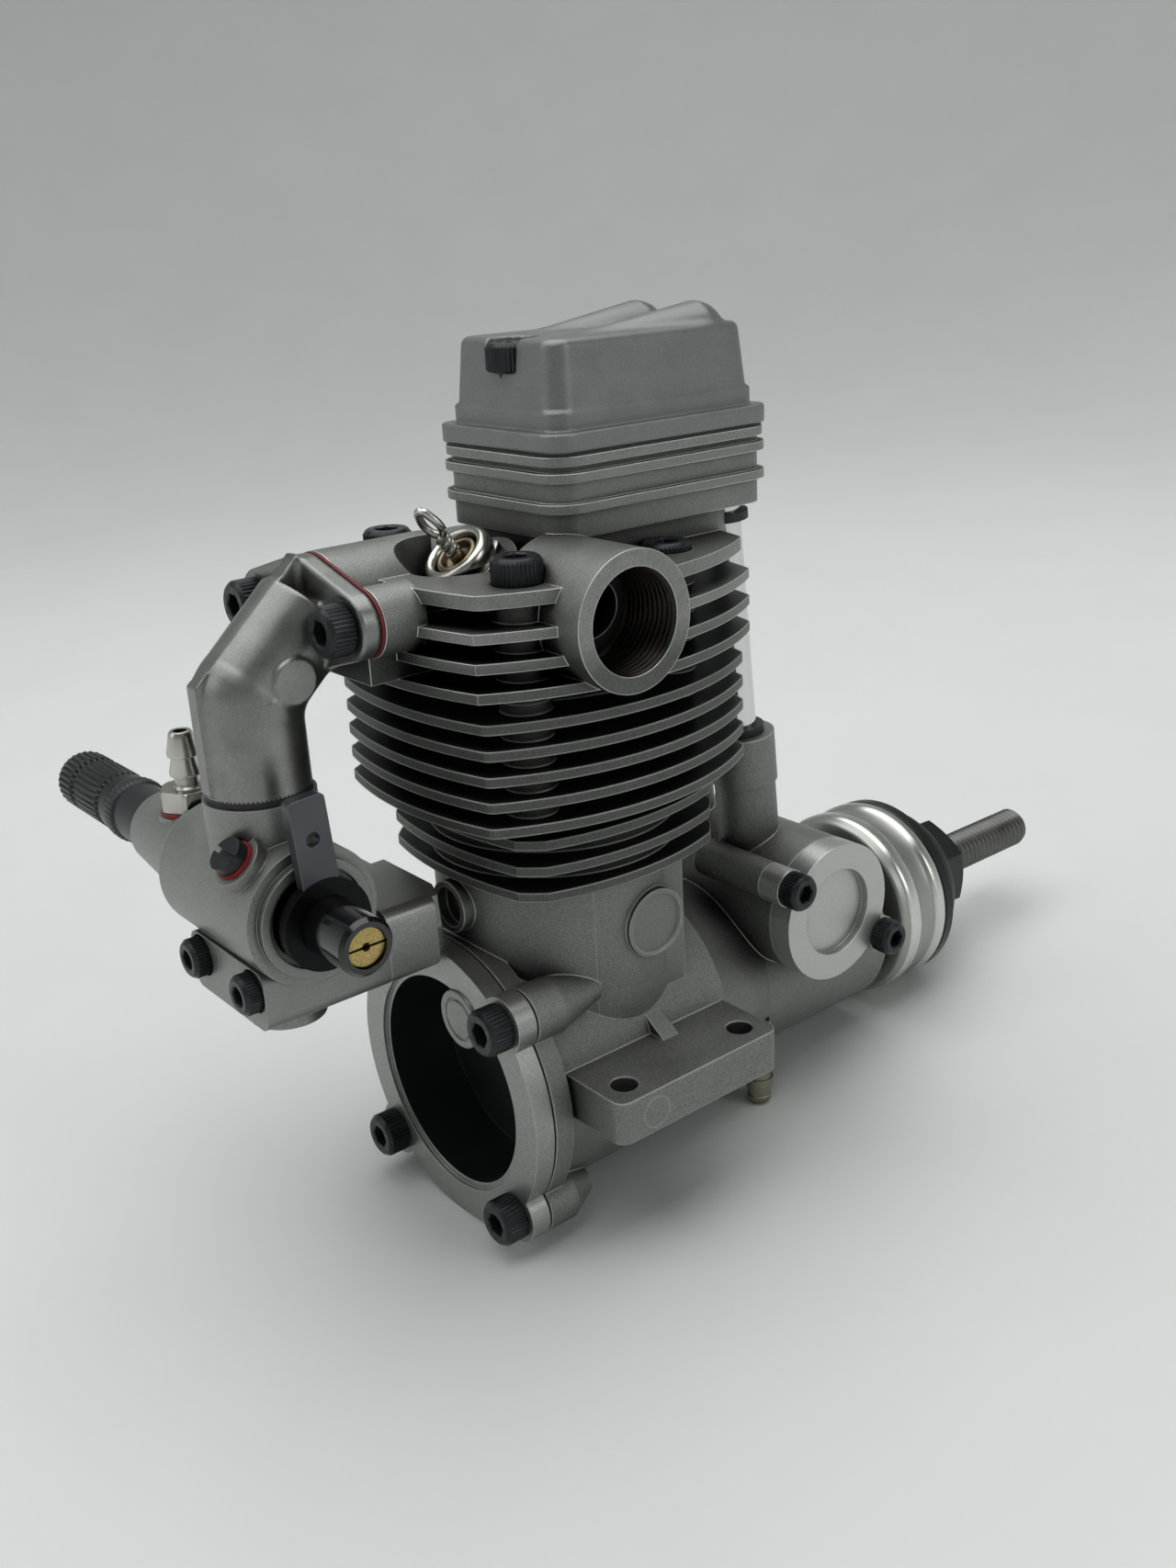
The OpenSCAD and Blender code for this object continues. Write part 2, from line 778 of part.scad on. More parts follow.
module back_cover() {
    color("gray") difference() {
        union() {
            rod_y(flange_back, flange_back + cover_t, cover_ring_r);
            rod_y(flange_back, dish_y + dish_floor, cavity_r - fit);
            at_cover_screws() rod_y(flange_back, flange_back + cover_t, ear_r);
            carb_arm();
        }
        rod_y(flange_back - cut, dish_y, dish_r);
        rod_y(flange_back - cut, flange_back + 0.5, dish_r + 0.8);
        at_cover_screws() rod_y(flange_back - cut, rear_y, big_screw_d / 2 + 0.1);
        at_clamp_screws() rod_y(-arm_reach - cut, -arm_reach + 6, small_screw_d / 2 + fit);
    }
}

module carb_arm() {
    mid = (arm_top + arm_low) / 2;
    root = arm_root_w / 2;
    extrude_y(-arm_reach, flange_back + 1) {
        polygon([
            [carb_x - root, arm_low + 1.4], [carb_x - root + 1.4, arm_low],
            [carb_x + root - 1.4, arm_low], [carb_x + root, arm_low + 1.4],
            [carb_x + root + 0.4, mid], [carb_x + root, arm_top - 1],
            [carb_x + root - 1, arm_top], [carb_x - root + 1, arm_top],
            [carb_x - root, arm_top - 1], [carb_x - root - 0.4, mid]
        ]);
    }
    extrude_y(-arm_reach, -arm_reach + 6.5) {
        rounded(carb_x - arm_w / 2, carb_x + arm_w / 2, arm_low + 1, arm_top, 1.5);
    }
}

module back_cover_gasket() {
    color("dimgray") difference() {
        union() {
            rod_y(rear_y - gasket_t, rear_y, cover_ring_r - 0.2);
            at_cover_screws() rod_y(rear_y - gasket_t, rear_y, ear_r - 0.2);
        }
        rod_y(rear_y - 1, rear_y + 1, cavity_r);
        at_cover_screws() rod_y(rear_y - 1, rear_y + 1, big_screw_d / 2 + 0.1);
    }
}

module back_cover_screws() {
    color("darkslategray") at_cover_screws() {
        translate([0, flange_back, 0]) rotate([90, 0, 0]) cap_screw(big_screw_d, cover_t + gasket_t + 5);
    }
}

// Cam cover and camshaft

module cam_cover() {
    color("gray") difference() {
        union() {
            translate([0, cam_y, cam_z]) {
                rod_x(cam_face - 3.2, cam_face, cam_cover_r);
                rod_x(cam_face - 7, cam_face - 3, 7.6 - fit);
            }
            at_cam_screws() rod_x(cam_face - 3.2, cam_face, 2.4);
        }
        translate([0, cam_y, cam_z]) {
            rod_x(cam_face - 1, cam_face + cut, cam_window_r);
            rod_x(cam_face - 7 - cut, cam_face - 3.4, 4.5 + fit);
        }
        at_cam_screws() rod_x(cam_face - 4, cam_face + cut, small_screw_d / 2 + 0.1);
    }
}

module cam_cover_screws() {
    color("darkslategray") at_cam_screws() {
        translate([cam_face, 0, 0]) rotate([0, 90, 0]) cap_screw(small_screw_d, 9);
    }
}

module bearing_profile(r_in, r_out, width) {
    // Half the section of a ball bearing with its races and a sunk shield.
    land = (r_out - r_in) * 0.24;
    translate([r_in, 0]) square([land, width]);
    translate([r_in + land - 0.1, 0.3]) square([r_out - r_in - 2 * land + 0.2, width - 0.6]);
    translate([r_out - land, 0]) square([land, width]);
}

module cam_bearings() {
    color("silver") translate([0, cam_y, cam_z]) {
        for (x = [-cam_face + 5.4, cam_face - 6.4]) {
            translate([x, 0, 0]) rotate([0, 90, 0]) rotate_extrude() bearing_profile(cam_journal_r + 0.03, 4.5, 3);
        }
    }
}

module camshaft() {
    color("dimgray") translate([0, cam_y, cam_z]) difference() {
        union() {
            rod_x(-cam_face + 5.6, cam_face - 3.6, cam_journal_r);
            rod_x(-8.2, 8.4, 3);
            lobe(-valve_x, 205);
            lobe(valve_x, 95);
        }
        rod_x(cam_face - 5.6, cam_face, 1);
    }
}

module lobe(x, turn) {
    rotate([turn, 0, 0]) extrude_x(x - 1.8, x + 1.8) link([0, 0], base_circle, [lobe_r - 1.6, 0], 1.6);
}

module gear(teeth, tip_r, depth, width, bore, helix) {
    root_r = tip_r - depth;
    difference() {
        linear_extrude(width, center = true, twist = helix, slices = 4) polygon([
            for (i = [0 : teeth - 1], p = [[-0.3, root_r], [-0.16, tip_r], [0.16, tip_r], [0.3, root_r]])
                let (a = 360 * (i + p[0]) / teeth) [p[1] * cos(a), p[1] * sin(a)]
        ]);
        cylinder(h = width + 1, r = bore, center = true);
    }
}

module cam_gear() {
    color("silver") translate([0, cam_y, cam_z]) rotate([0, 90, 0]) {
        gear(20, cam_gear_r, 1.2, 6, 3 + fit, 32);
    }
}

module crank_gear() {
    color("silver") translate([0, cam_y, 0]) rotate([-90, 0, 0]) {
        gear(10, crank_gear_r, 1.1, 8, journal_r + fit, 60);
    }
}

// Valve gear

module tappet(side) {
    at_pushrod(side) rod_z(tappet_foot, tappet_foot + 9, tappet_r);
}

module pushrod(side) {
    at_pushrod(side) {
        rod_z(tappet_foot + 9, pushrod_len - 1, 0.9);
        translate([0, 0, pushrod_len - 1]) sphere(1);
    }
}

module intake_tappet() {
    color("silver") tappet(-1);
}

module exhaust_tappet() {
    color("silver") tappet(1);
}

module intake_pushrod() {
    color("silver") pushrod(-1);
}

module exhaust_pushrod() {
    color("silver") pushrod(1);
}

module pushrod_tubes() {
    color("gainsboro") at_pushrods() ring_z(tube_low + 1, tube_top, tube_r, tube_r - 0.4);
}

module pushrod_tube_seals() {
    color("black") at_pushrods() {
        ring_z(tower_len, tower_len + 1, tube_r + 0.9, tube_r + fit);
        ring_z(tube_top - 3.2, tube_top - 2.2, tube_r + 0.9, tube_r + fit);
    }
}

module rocker(side) {
    valve_pad = [valve_y, stem_top + gap + pad_r + 0.8];
    push_pad = [push_tip_y, push_tip_z + gap + pad_r];
    hub = [rocker_y, rocker_z];
    difference() {
        extrude_x(side * valve_x - rocker_w / 2, side * valve_x + rocker_w / 2) {
            link(hub, rocker_r, valve_pad, pad_r);
            link(hub, rocker_r, push_pad, pad_r);
        }
        translate([side * valve_x, rocker_y, rocker_z]) rod_x(-3, 3, shaft_r + 0.03);
    }
    // A short tip presses on the valve stem.
    translate([side * valve_x, valve_y, 0]) rod_z(stem_top + gap, stem_top + gap + 1.6, 0.8);
}

module intake_rocker() {
    color("dimgray") rocker(-1);
}

module exhaust_rocker() {
    color("dimgray") rocker(1);
}

module rocker_shaft() {
    half = box_half - box_wall - 0.3;
    color("silver") translate([0, rocker_y, rocker_z]) rod_x(-half, half, shaft_r);
}

module valve(side) {
    // The head sits just below its seat, and the collar near the tip holds the spring.
    seat = seat_z - 0.1;
    translate([side * valve_x, valve_y, 0]) {
        rod_z(seat - 1, seat, valve_r);
        translate([0, 0, seat - 0.01]) cylinder(h = 2.6, r1 = 3.2, r2 = stem_r);
        rod_z(seat, stem_top, stem_r);
        rod_z(retainer_z, retainer_z + 1, 2.9);
    }
}

module intake_valve() {
    color("silver") valve(-1);
}

module exhaust_valve() {
    color("silver") valve(1);
}

module coil(r, wire, z0, z1, turns) {
    // A round wire follows a helix, with its first and last points on the two end planes.
    sides = 8;
    steps = 16;
    rings = turns * steps;
    rise = z1 - z0 - 2 * wire;
    ring_points = [
        for (i = [0 : rings], j = [0 : sides - 1])
            let (a = 360 * i / steps, b = 360 * j / sides, q = r + wire * cos(b))
                [q * cos(a), q * sin(a), z0 + wire + rise * i / rings + wire * sin(b)]
    ];
    sides_a = [
        for (i = [0 : rings - 1], j = [0 : sides - 1])
            [i * sides + j, i * sides + (j + 1) % sides, (i + 1) * sides + j]
    ];
    sides_b = [
        for (i = [0 : rings - 1], j = [0 : sides - 1])
            [i * sides + (j + 1) % sides, (i + 1) * sides + (j + 1) % sides, (i + 1) * sides + j]
    ];
    first = [[for (j = [sides - 1 : -1 : 0]) j]];
    last = [[for (j = [0 : sides - 1]) rings * sides + j]];
    polyhedron(ring_points, concat(sides_a, sides_b, first, last), convexity = 10);
}

module valve_spring(side) {
    translate([side * valve_x, valve_y, 0]) coil(2.4, 0.4, spring_seat_z, retainer_z, 4);
}

module intake_spring() {
    color("silver") valve_spring(-1);
}

module exhaust_spring() {
    color("silver") valve_spring(1);
}

// Inlet pipe

module bend_cut() {
    // What lies above the mitre, less a thin lap that joins the two legs of the pipe.
    translate([carb_x - 20, carb_y, bend_z + 0.3]) rotate([-mitre, 0, 0]) {
        translate([0, -20, 0]) cube([40, 40, 30]);
    }
}

module mitre_disc(r) {
    translate([carb_x, carb_y, bend_z]) rotate([-mitre, 0, 0]) {
        scale([1, 1 / cos(mitre), 1]) cylinder(h = 0.05, r = r, $fn = 40);
    }
}

module port_disc(y, r) {
    translate([carb_x, 0, port_z]) rotate([90, 0, 0]) translate([0, 0, -y]) cylinder(h = 0.05, r = r, $fn = 40);
}

module intake_manifold() {
    color("gray") difference() {
        union() {
            extrude_y(pipe_flange_y, pipe_flange_y + flange_t) flange_outline();
            hull() {
                port_disc(pipe_flange_y + 0.1, pipe_r);
                mitre_disc(pipe_r);
            }
            difference() {
                translate([carb_x, carb_y, 0]) {
                    rod_z(tube_end_z, socket_z + 1.2, pipe_end_r);
                    translate([0, 0, socket_z + 1.1]) {
                        cylinder(h = bend_z + 3.9 - socket_z, r1 = pipe_end_r, r2 = pipe_r + 0.35);
                    }
                }
                bend_cut();
            }
            pipe_rib();
            translate([carb_x, carb_y + 4.2, bend_z + 2.2]) rod_x(2, pipe_r + 0.4, 2.3);
        }
        hull() {
            port_disc(pipe_flange_y + flange_t + 1, pipe_bore_r);
            port_disc(pipe_flange_y, pipe_bore_r);
            mitre_disc(pipe_bore_r);
        }
        translate([carb_x, carb_y, 0]) rod_z(tube_end_z - cut, bend_z + 1.2, pipe_bore_r - 0.1);
        at_flange_screws() rod_y(pipe_flange_y - cut, pipe_flange_y + flange_t + cut, big_screw_d / 2 + 0.1);
    }
}

module pipe_rib() {
    // A narrow rib follows the outer ridge of the bend.
    outer = pipe_r / cos(mitre);
    corner = [carb_y - outer * cos(mitre), bend_z + outer * sin(mitre)];
    extrude_x(carb_x - 1.1, carb_x + 1.1) polygon([
        [pipe_flange_y, port_z + pipe_r + 0.5], [corner[0] - 0.6, corner[1] + 0.6],
        [corner[0] - 0.6, socket_z + 1.6], [corner[0] + 3, socket_z + 1.6],
        [corner[0] + 3, bend_z], [pipe_flange_y, port_z]
    ]);
}

module flange_outline() {
    translate([carb_x, port_z]) hull() {
        circle(6.2, $fn = 48);
        for (s = [-1, 1]) translate([s * flange_pitch / 2, 0]) circle(3.6, $fn = 48);
    }
}

module manifold_gasket() {
    color("maroon") difference() {
        extrude_y(-port_back - 0.4, -port_back) flange_outline();
        translate([carb_x, 0, port_z]) rod_y(-port_back - 1, -port_back + 1, pipe_bore_r);
        at_flange_screws() rod_y(-port_back - 1, -port_back + 1, big_screw_d / 2 + 0.1);
    }
}

module manifold_screws() {
    color("darkslategray") at_flange_screws() {
        translate([0, pipe_flange_y, 0]) rotate([90, 0, 0]) cap_screw(big_screw_d, flange_t + 5);
    }
}

module manifold_seal() {
    color("black") translate([carb_x, carb_y, 0]) ring_z(socket_z, socket_z + 0.9, pipe_end_r + 0.8, pipe_end_r + 0.2);
}

// Glow plug

module glow_plug() {
    color("silver") at_plug() {
        difference() {
            union() {
                rod_z(-12.3, -3, 3);
                translate([0, 0, -3]) cylinder(h = 1.5, r = 8 / sqrt(3), $fn = 6);
                rod_z(-1.6, 0.6, 4.1);
            }
            rod_z(-0.4, 1, 2.7);
            rod_z(-13, -6, 1.6);
        }
        rod_z(-0.5, 0.2, 2.2);
        // The lead wire stands up from the middle and ends in an eye.
        rod_z(0, 4.2, 0.6);
        translate([0, 0, 5.4]) rotate([0, 90, 0]) rotate_extrude() translate([1.3, 0]) circle(0.42);
    }
}

module glow_plug_washer() {
    color("peru") at_plug() ring_z(-3.4, -3, 4.4, 3.05);
}

// Carburettor

module carburettor_body() {
    color("silver") difference() {
        union() {
            translate([carb_x, carb_y, 0]) {
                rod_z(intake_z, barrel_z, intake_r);
                rod_z(barrel_z, socket_z, socket_r);
            }
            translate([carb_x, carb_y, barrel_z]) {
                rod_x(-12, 8.9, carb_r);
                rod_x(8, bezel_x, 6.6);
                translate([-12, 0, 0]) rotate([0, -90, 0]) cylinder(h = 4, r1 = carb_r, r2 = 5.8);
                translate([-16, 0, 0]) rotate([0, -90, 0]) cylinder(h = 11, r1 = 5.8, r2 = 4.7);
            }
            translate([nipple_x, carb_y, 0]) rod_z(barrel_z, nipple_z, 3.8);
            at_guide() rod_z(4, guide_seat, 2.9);
            clamp_foot();
        }
        translate([carb_x, carb_y, 0]) {
            rod_z(intake_z - cut, socket_z, venturi_r);
            rod_z(socket_floor_z, socket_z + cut, pipe_end_r + 0.06);
            translate([0, 0, intake_z - 0.01]) cylinder(h = 2, r1 = venturi_r + 0.8, r2 = venturi_r);
        }
        translate([carb_x, carb_y, barrel_z]) {
            rod_x(-11, bezel_x + cut, barrel_r + 0.03);
            rod_x(bezel_x - 0.8, bezel_x + cut, 5.6);
            rod_x(-30, -10, 1.5);
        }
        translate([nipple_x, carb_y, 0]) {
            rod_z(barrel_z, nipple_z + cut, 2.1);
            rod_z(nipple_z, nipple_top, 3.9);
        }
        at_guide() rod_z(3, guide_seat + cut, 1.05);
        at_guide() rod_z(guide_seat, guide_seat + 6, 2.4);
        at_clamp_screws() rod_y(clamp_seat - 3, -arm_reach + cut, small_screw_d / 2 + 0.1);
        at_clamp_screws() rod_y(clamp_seat - 5, clamp_seat, 2.45);
    }
}

module clamp_foot() {
    // The foot under the body takes the two long screws that hold it to the arm.
    extrude_y(clamp_seat - 0.6, -arm_reach) {
        rounded(carb_x - arm_w / 2, carb_x + arm_w / 2, arm_low + 1, clamp_z + 2.6, 1.5);
    }
}

module at_guide() {
    translate([carb_x + guide_x, carb_y, barrel_z]) rotate([41, 0, 0]) children();
}

module carburettor_screws() {
    color("darkslategray") at_clamp_screws() {
        translate([0, clamp_seat, 0]) rotate([90, 0, 0]) cap_screw(small_screw_d, carb_back + 6 - arm_reach + 5);
    }
}

module throttle_barrel() {
    color("black") translate([carb_x, carb_y, barrel_z]) difference() {
        union() {
            rod_x(-10.8, bezel_x - 1.2, barrel_r);
            rod_x(bezel_x - 1.3, spindle_reach - 0.5, spindle_r);
            translate([spindle_reach - 0.5, 0, 0]) rotate([0, 90, 0]) {
                cylinder(h = 0.5, r1 = spindle_r, r2 = spindle_r - 0.4);
            }
        }
        rod_z(-6, 6, venturi_r);
        rod_x(-12, -2, 1.6);
        rod_x(2, spindle_reach + cut, 2.25);
        // A curved groove takes the tip of the guide screw as the barrel turns.
        rotate([0, 90, 0]) translate([0, 0, guide_x - 1.2]) rotate_extrude() {
            translate([barrel_r - 1, 0]) square([2, 2.4]);
        }
    }
}

module throttle_arm() {
    x = carb_x + bezel_x + 0.9;
    color("darkgray") difference() {
        translate([x, carb_y, barrel_z]) rotate([lever_angle, 0, 0]) extrude_x(0, 1.4) difference() {
            union() {
                circle(5.1);
                rounded(-lever_w / 2, lever_w / 2, 0, lever_len, 0.6);
            }
            translate([0, lever_len - 4.6]) circle(0.8);
        }
        translate([0, carb_y, barrel_z]) rod_x(x - 1, x + 3, spindle_r + fit);
    }
}

module idle_screw() {
    color("goldenrod") translate([carb_x, carb_y, barrel_z]) difference() {
        rod_x(spindle_reach - 11, spindle_reach - 0.4, 2.2);
        rod_x(spindle_reach - 1.6, spindle_reach + 1, 0.7);
        block(spindle_reach - 1.2, spindle_reach + 1, -3, 3, -0.25, 0.25);
    }
}

module barrel_guide_screw() {
    color("black") at_guide() difference() {
        union() {
            rod_z(barrel_r - 0.7, guide_seat + 0.4, 1);
            rod_z(guide_seat + 0.4, guide_seat + 1.7, 2);
        }
        block(-3, 3, -0.3, 0.3, guide_seat + 1, guide_seat + 3);
    }
}

module guide_screw_washer() {
    color("firebrick") at_guide() ring_z(guide_seat, guide_seat + 0.4, 2.25, 1.1);
}

module fuel_nipple() {
    color("silver") translate([nipple_x, carb_y, 0]) difference() {
        union() {
            rod_z(barrel_z + 1.4, nipple_z + 0.5, 2);
            translate([0, 0, nipple_z + 0.4]) cylinder(h = 2.6, r = 6 / sqrt(3), $fn = 6);
            rod_z(nipple_z + 2.9, nipple_top, 1.4);
            for (z = [nipple_z + 4.4, nipple_z + 6.8]) {
                translate([0, 0, z]) cylinder(h = 2.2, r1 = 1.9, r2 = 1.4);
            }
        }
        rod_z(barrel_z, nipple_top + cut, 0.8);
    }
}

module nipple_washer() {
    color("firebrick") translate([nipple_x, carb_y, 0]) ring_z(nipple_z, nipple_z + 0.4, 3.4, 2.1);
}

module needle_holder() {
    color("dimgray") translate([carb_x, carb_y, barrel_z]) difference() {
        union() {
            rod_x(holder_end, -27, 3.8);
            rod_x(-27, -19, 1.5 - fit);
            rod_x(holder_end + 0.6, holder_end + 2.2, 4.2);
        }
        rod_x(holder_end - cut, -18, 0.85);
        rod_x(holder_end - cut, holder_end + 6, 2.1);
    }
}

module needle_valve() {
    color("silver") translate([carb_x, carb_y, barrel_z]) {
        difference() {
            union() {
                rod_x(-needle_reach, holder_end - 0.3, 3.9);
                rod_x(holder_end - 0.4, holder_end + 5.6, 2.05);
            }
            block(-needle_reach - 1, -needle_reach + 1.2, -5, 5, -0.4, 0.4);
        }
        rod_x(holder_end, -18, 0.8);
        translate([-18, 0, 0]) rotate([0, 90, 0]) cylinder(h = 8, r1 = 0.8, r2 = 0.2);
    }
}

// Crankshaft and propeller drive

module crankshaft() {
    color("silver") difference() {
        union() {
            difference() {
                rod_y(web_back, web_front, web_r);
                for (s = [-1, 1]) counterweight_cut(s);
            }
            rod_y(web_front - 1, bearing_y + bearing_w + 0.3, main_r - 0.03);
            rod_y(web_front, driver_front - 2, journal_r - 0.03);
            rod_y(driver_front - 3, nut_front + 0.2, thread_core_r);
            rod_y(nut_front + 0.2, shaft_tip - 0.6, thread_r);
            along_y(shaft_tip - 0.6, shaft_tip, thread_r, thread_r - 0.6);
        }
        translate([0, 0, throw]) rod_y(web_back - 1, web_back + 5, crank_pin_r * 0.6);
    }
}

module counterweight_cut(side) {
    // The web is narrowed beside the crank pin so that the opposite side balances it.
    extrude_y(web_back - 1, web_front + 1) {
        polygon([[side * 6.2, 3], [side * 14, -1], [side * 14, 14], [side * 6.2, 14]]);
    }
}

module crank_pin() {
    color("silver") translate([0, 0, throw]) rod_y(-rod_half - 0.5, web_back - gap, crank_pin_r - fit);
}

module rear_bearing() {
    color("silver") translate([0, bearing_y, 0]) rotate([-90, 0, 0]) {
        rotate_extrude() bearing_profile(main_r, bearing_r, bearing_w);
    }
}

module front_bearing() {
    color("silver") translate([0, nose_bearing_y, 0]) rotate([-90, 0, 0]) {
        rotate_extrude() bearing_profile(journal_r, nose_bearing_r, 6);
    }
}

module drive_collet() {
    color("silver") difference() {
        along_y(nose_end + 0.3, driver_front - 2.2, 6.6, 5);
        rod_y(nose_end, driver_front, journal_r);
        block(-0.3, 0.3, nose_end, driver_front, 0, 8);
    }
}

module prop_driver() {
    color("silver") difference() {
        union() {
            rod_y(driver_back + 0.6, driver_front, driver_r);
            along_y(driver_back, driver_back + 0.6, driver_r - 0.5, driver_r);
        }
        along_y(nose_end + 0.3, driver_front - 2.2, 6.6 + fit, 5 + fit);
        rod_y(driver_front - 2.5, driver_front + cut, journal_r);
        // A shallow groove parts the rim into two bands.
        translate([0, driver_back + driver_t / 2, 0]) rotate([-90, 0, 0]) rotate_extrude() {
            translate([driver_r - 0.3, -1.4]) square([2, 2.8]);
        }
    }
}

module prop_washer() {
    color("darkslategray") difference() {
        union() {
            rod_y(driver_front, washer_step, driver_r - 0.1);
            rod_y(washer_step, washer_front, 11);
        }
        rod_y(driver_front - 1, washer_front + 1, thread_r + 0.05);
    }
}

module prop_nut() {
    color("darkslategray") translate([0, washer_front, 0]) rotate([-90, 0, 0]) difference() {
        intersection() {
            cylinder(h = nut_h, r = nut_flats / sqrt(3), $fn = 6);
            union() {
                cylinder(h = nut_h - 1, r = nut_flats);
                translate([0, 0, nut_h - 1]) cylinder(h = 1, r1 = nut_flats / sqrt(3), r2 = nut_flats / sqrt(3) - 1.3);
            }
        }
        translate([0, 0, -1]) cylinder(h = nut_h + 2, r = thread_core_r + 0.05);
    }
}

// Piston and rod

module piston() {
    ring_top = crown_z - 1.8;
    color("silver") difference() {
        rod_z(skirt_z, crown_z, piston_r);
        difference() {
            rod_z(skirt_z - cut, crown_z - 2.2, piston_r - 1.6);
            block(-4.2, 4.2, -12, -rod_half - 0.4, pin_z - 3.6, crown_z);
            block(-4.2, 4.2, rod_half + 0.4, 12, pin_z - 3.6, crown_z);
        }
        difference() {
            rod_z(ring_top - 1.2, ring_top, piston_r + 1);
            rod_z(ring_top - 2, ring_top + 1, piston_r - 0.9);
        }
        translate([0, 0, pin_z]) rod_y(-12, 12, wrist_r + fit);
    }
}

module piston_ring() {
    ring_top = crown_z - 1.8;
    color("dimgray") difference() {
        ring_z(ring_top - 1.15, ring_top - 0.05, bore_r - 0.02, piston_r - 0.8);
        block(0, 14, -0.2, 0.2, ring_top - 2, ring_top + 1);
    }
}

module wrist_pin() {
    color("silver") translate([0, 0, pin_z]) difference() {
        rod_y(-piston_r + 1.4, piston_r - 1.4, wrist_r);
        rod_y(-12, 12, 1.3);
    }
}

module connecting_rod() {
    eye = 3.9;
    color("silver") difference() {
        union() {
            translate([0, 0, pin_z]) rod_y(-rod_half, rod_half, eye);
            translate([0, 0, throw]) rod_y(-rod_half, rod_half, big_end_r);
            extrude_y(-rod_half + 0.7, rod_half - 0.7) {
                polygon([[-3, throw], [3, throw], [2.4, pin_z], [-2.4, pin_z]]);
            }
        }
        // A slot along each face leaves an I section.
        for (s = [-1, 1]) extrude_y(s > 0 ? 1 : -rod_half, s > 0 ? rod_half : -1) {
            polygon([[-1.6, throw + 6], [1.6, throw + 6], [1.2, pin_z - 6], [-1.2, pin_z - 6]]);
        }
        translate([0, 0, pin_z]) rod_y(-4, 4, wrist_r + fit);
        translate([0, 0, throw]) rod_y(-4, 4, crank_pin_r);
    }
}

module breather_nipple() {
    color("silver") translate([11.7, 22.6, 0]) difference() {
        union() {
            rod_z(-15, -3.2, 1.6);
            translate([0, 0, -14]) cylinder(h = 2.4, r1 = 1.5, r2 = 1.9);
        }
        rod_z(-16, -4, 0.9);
    }
}

crankcase();
cylinder_liner();
cylinder_head();
head_gasket();
head_screws();
rocker_cover();
rocker_cover_gasket();
rocker_cover_screws();
back_cover();
back_cover_gasket();
back_cover_screws();
cam_cover();
cam_cover_screws();
cam_bearings();
intake_manifold();
manifold_gasket();
manifold_screws();
manifold_seal();
glow_plug();
glow_plug_washer();
carburettor_body();
carburettor_screws();
throttle_barrel();
throttle_arm();
idle_screw();
barrel_guide_screw();
guide_screw_washer();
fuel_nipple();
nipple_washer();
needle_valve();
needle_holder();
crankshaft();
crank_gear();
front_bearing();
rear_bearing();
drive_collet();
prop_driver();
prop_washer();
prop_nut();
piston();
piston_ring();
wrist_pin();
connecting_rod();
camshaft();
cam_gear();
intake_tappet();
exhaust_tappet();
intake_pushrod();
exhaust_pushrod();
pushrod_tubes();
pushrod_tube_seals();
intake_rocker();
exhaust_rocker();
rocker_shaft();
intake_valve();
exhaust_valve();
intake_spring();
exhaust_spring();
crank_pin();
breather_nipple();
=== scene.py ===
"""Looks for a four-stroke model aircraft engine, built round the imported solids.

Lengths below are in metres unless a name says otherwise. +Y runs forwards along the
crankshaft, +Z up along the cylinder and +X towards the exhaust boss.
"""

import math

import bmesh
import bpy
import numpy as np
from mathutils import Matrix, Vector


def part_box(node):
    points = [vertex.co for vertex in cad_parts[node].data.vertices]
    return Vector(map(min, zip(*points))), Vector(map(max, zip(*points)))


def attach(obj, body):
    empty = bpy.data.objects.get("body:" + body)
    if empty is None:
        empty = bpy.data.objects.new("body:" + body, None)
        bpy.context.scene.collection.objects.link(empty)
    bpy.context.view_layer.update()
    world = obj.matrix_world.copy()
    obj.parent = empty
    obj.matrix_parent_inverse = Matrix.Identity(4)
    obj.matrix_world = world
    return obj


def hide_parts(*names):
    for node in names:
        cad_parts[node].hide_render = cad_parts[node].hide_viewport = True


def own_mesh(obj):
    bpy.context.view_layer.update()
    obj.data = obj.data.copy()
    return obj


bl_info = {
    "name": "Model aircraft engine",
    "version": (1, 0, 0),
    "blender": (4, 5, 0),
    "location": "View3D > Sidebar > Engine",
    "description": "Cast, machined and blackened finishes with turned and knurled pieces",
    "category": "Object",
}

MM = 0.001
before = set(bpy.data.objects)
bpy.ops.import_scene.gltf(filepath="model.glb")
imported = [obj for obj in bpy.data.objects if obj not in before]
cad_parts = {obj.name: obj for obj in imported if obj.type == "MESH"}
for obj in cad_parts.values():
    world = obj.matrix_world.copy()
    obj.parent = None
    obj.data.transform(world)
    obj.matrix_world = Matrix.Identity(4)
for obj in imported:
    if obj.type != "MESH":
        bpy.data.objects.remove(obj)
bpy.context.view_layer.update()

# Where the photograph was taken from, in millimetres and degrees.
CAMERA_AT = (134.43, -101.33, 94.79)
CAMERA_TURN = 51.5
CAMERA_DROP = 20.28
CAMERA_ROLL = -3.01
CAMERA_LENS = 34.53

# Places that several pieces share, in millimetres, as the solids have them.
CARB_X, CARB_Y, BARREL_Z = -5.9, -34.6, 28.3
PLUG_AT = (0.5, -11.3, 62.5)
PLUG_LEAN = 38.0
FLANGE_Y, FLANGE_Z, FLANGE_REACH = -27.4, 58.0, 9.25
BIG_SCREW, SMALL_SCREW = 3.0, 2.5
HEAD_RADIUS = 0.92  # of a cap screw, as a share of its thread's diameter
ALONG_X, ALONG_Y, ALONG_Z, REARWARDS = (1, 0, 0), (0, 1, 0), (0, 0, 1), (0, -1, 0)
ORIGIN = (0, 0, 0)
BARREL_AXIS = (0, CARB_Y, BARREL_Z)

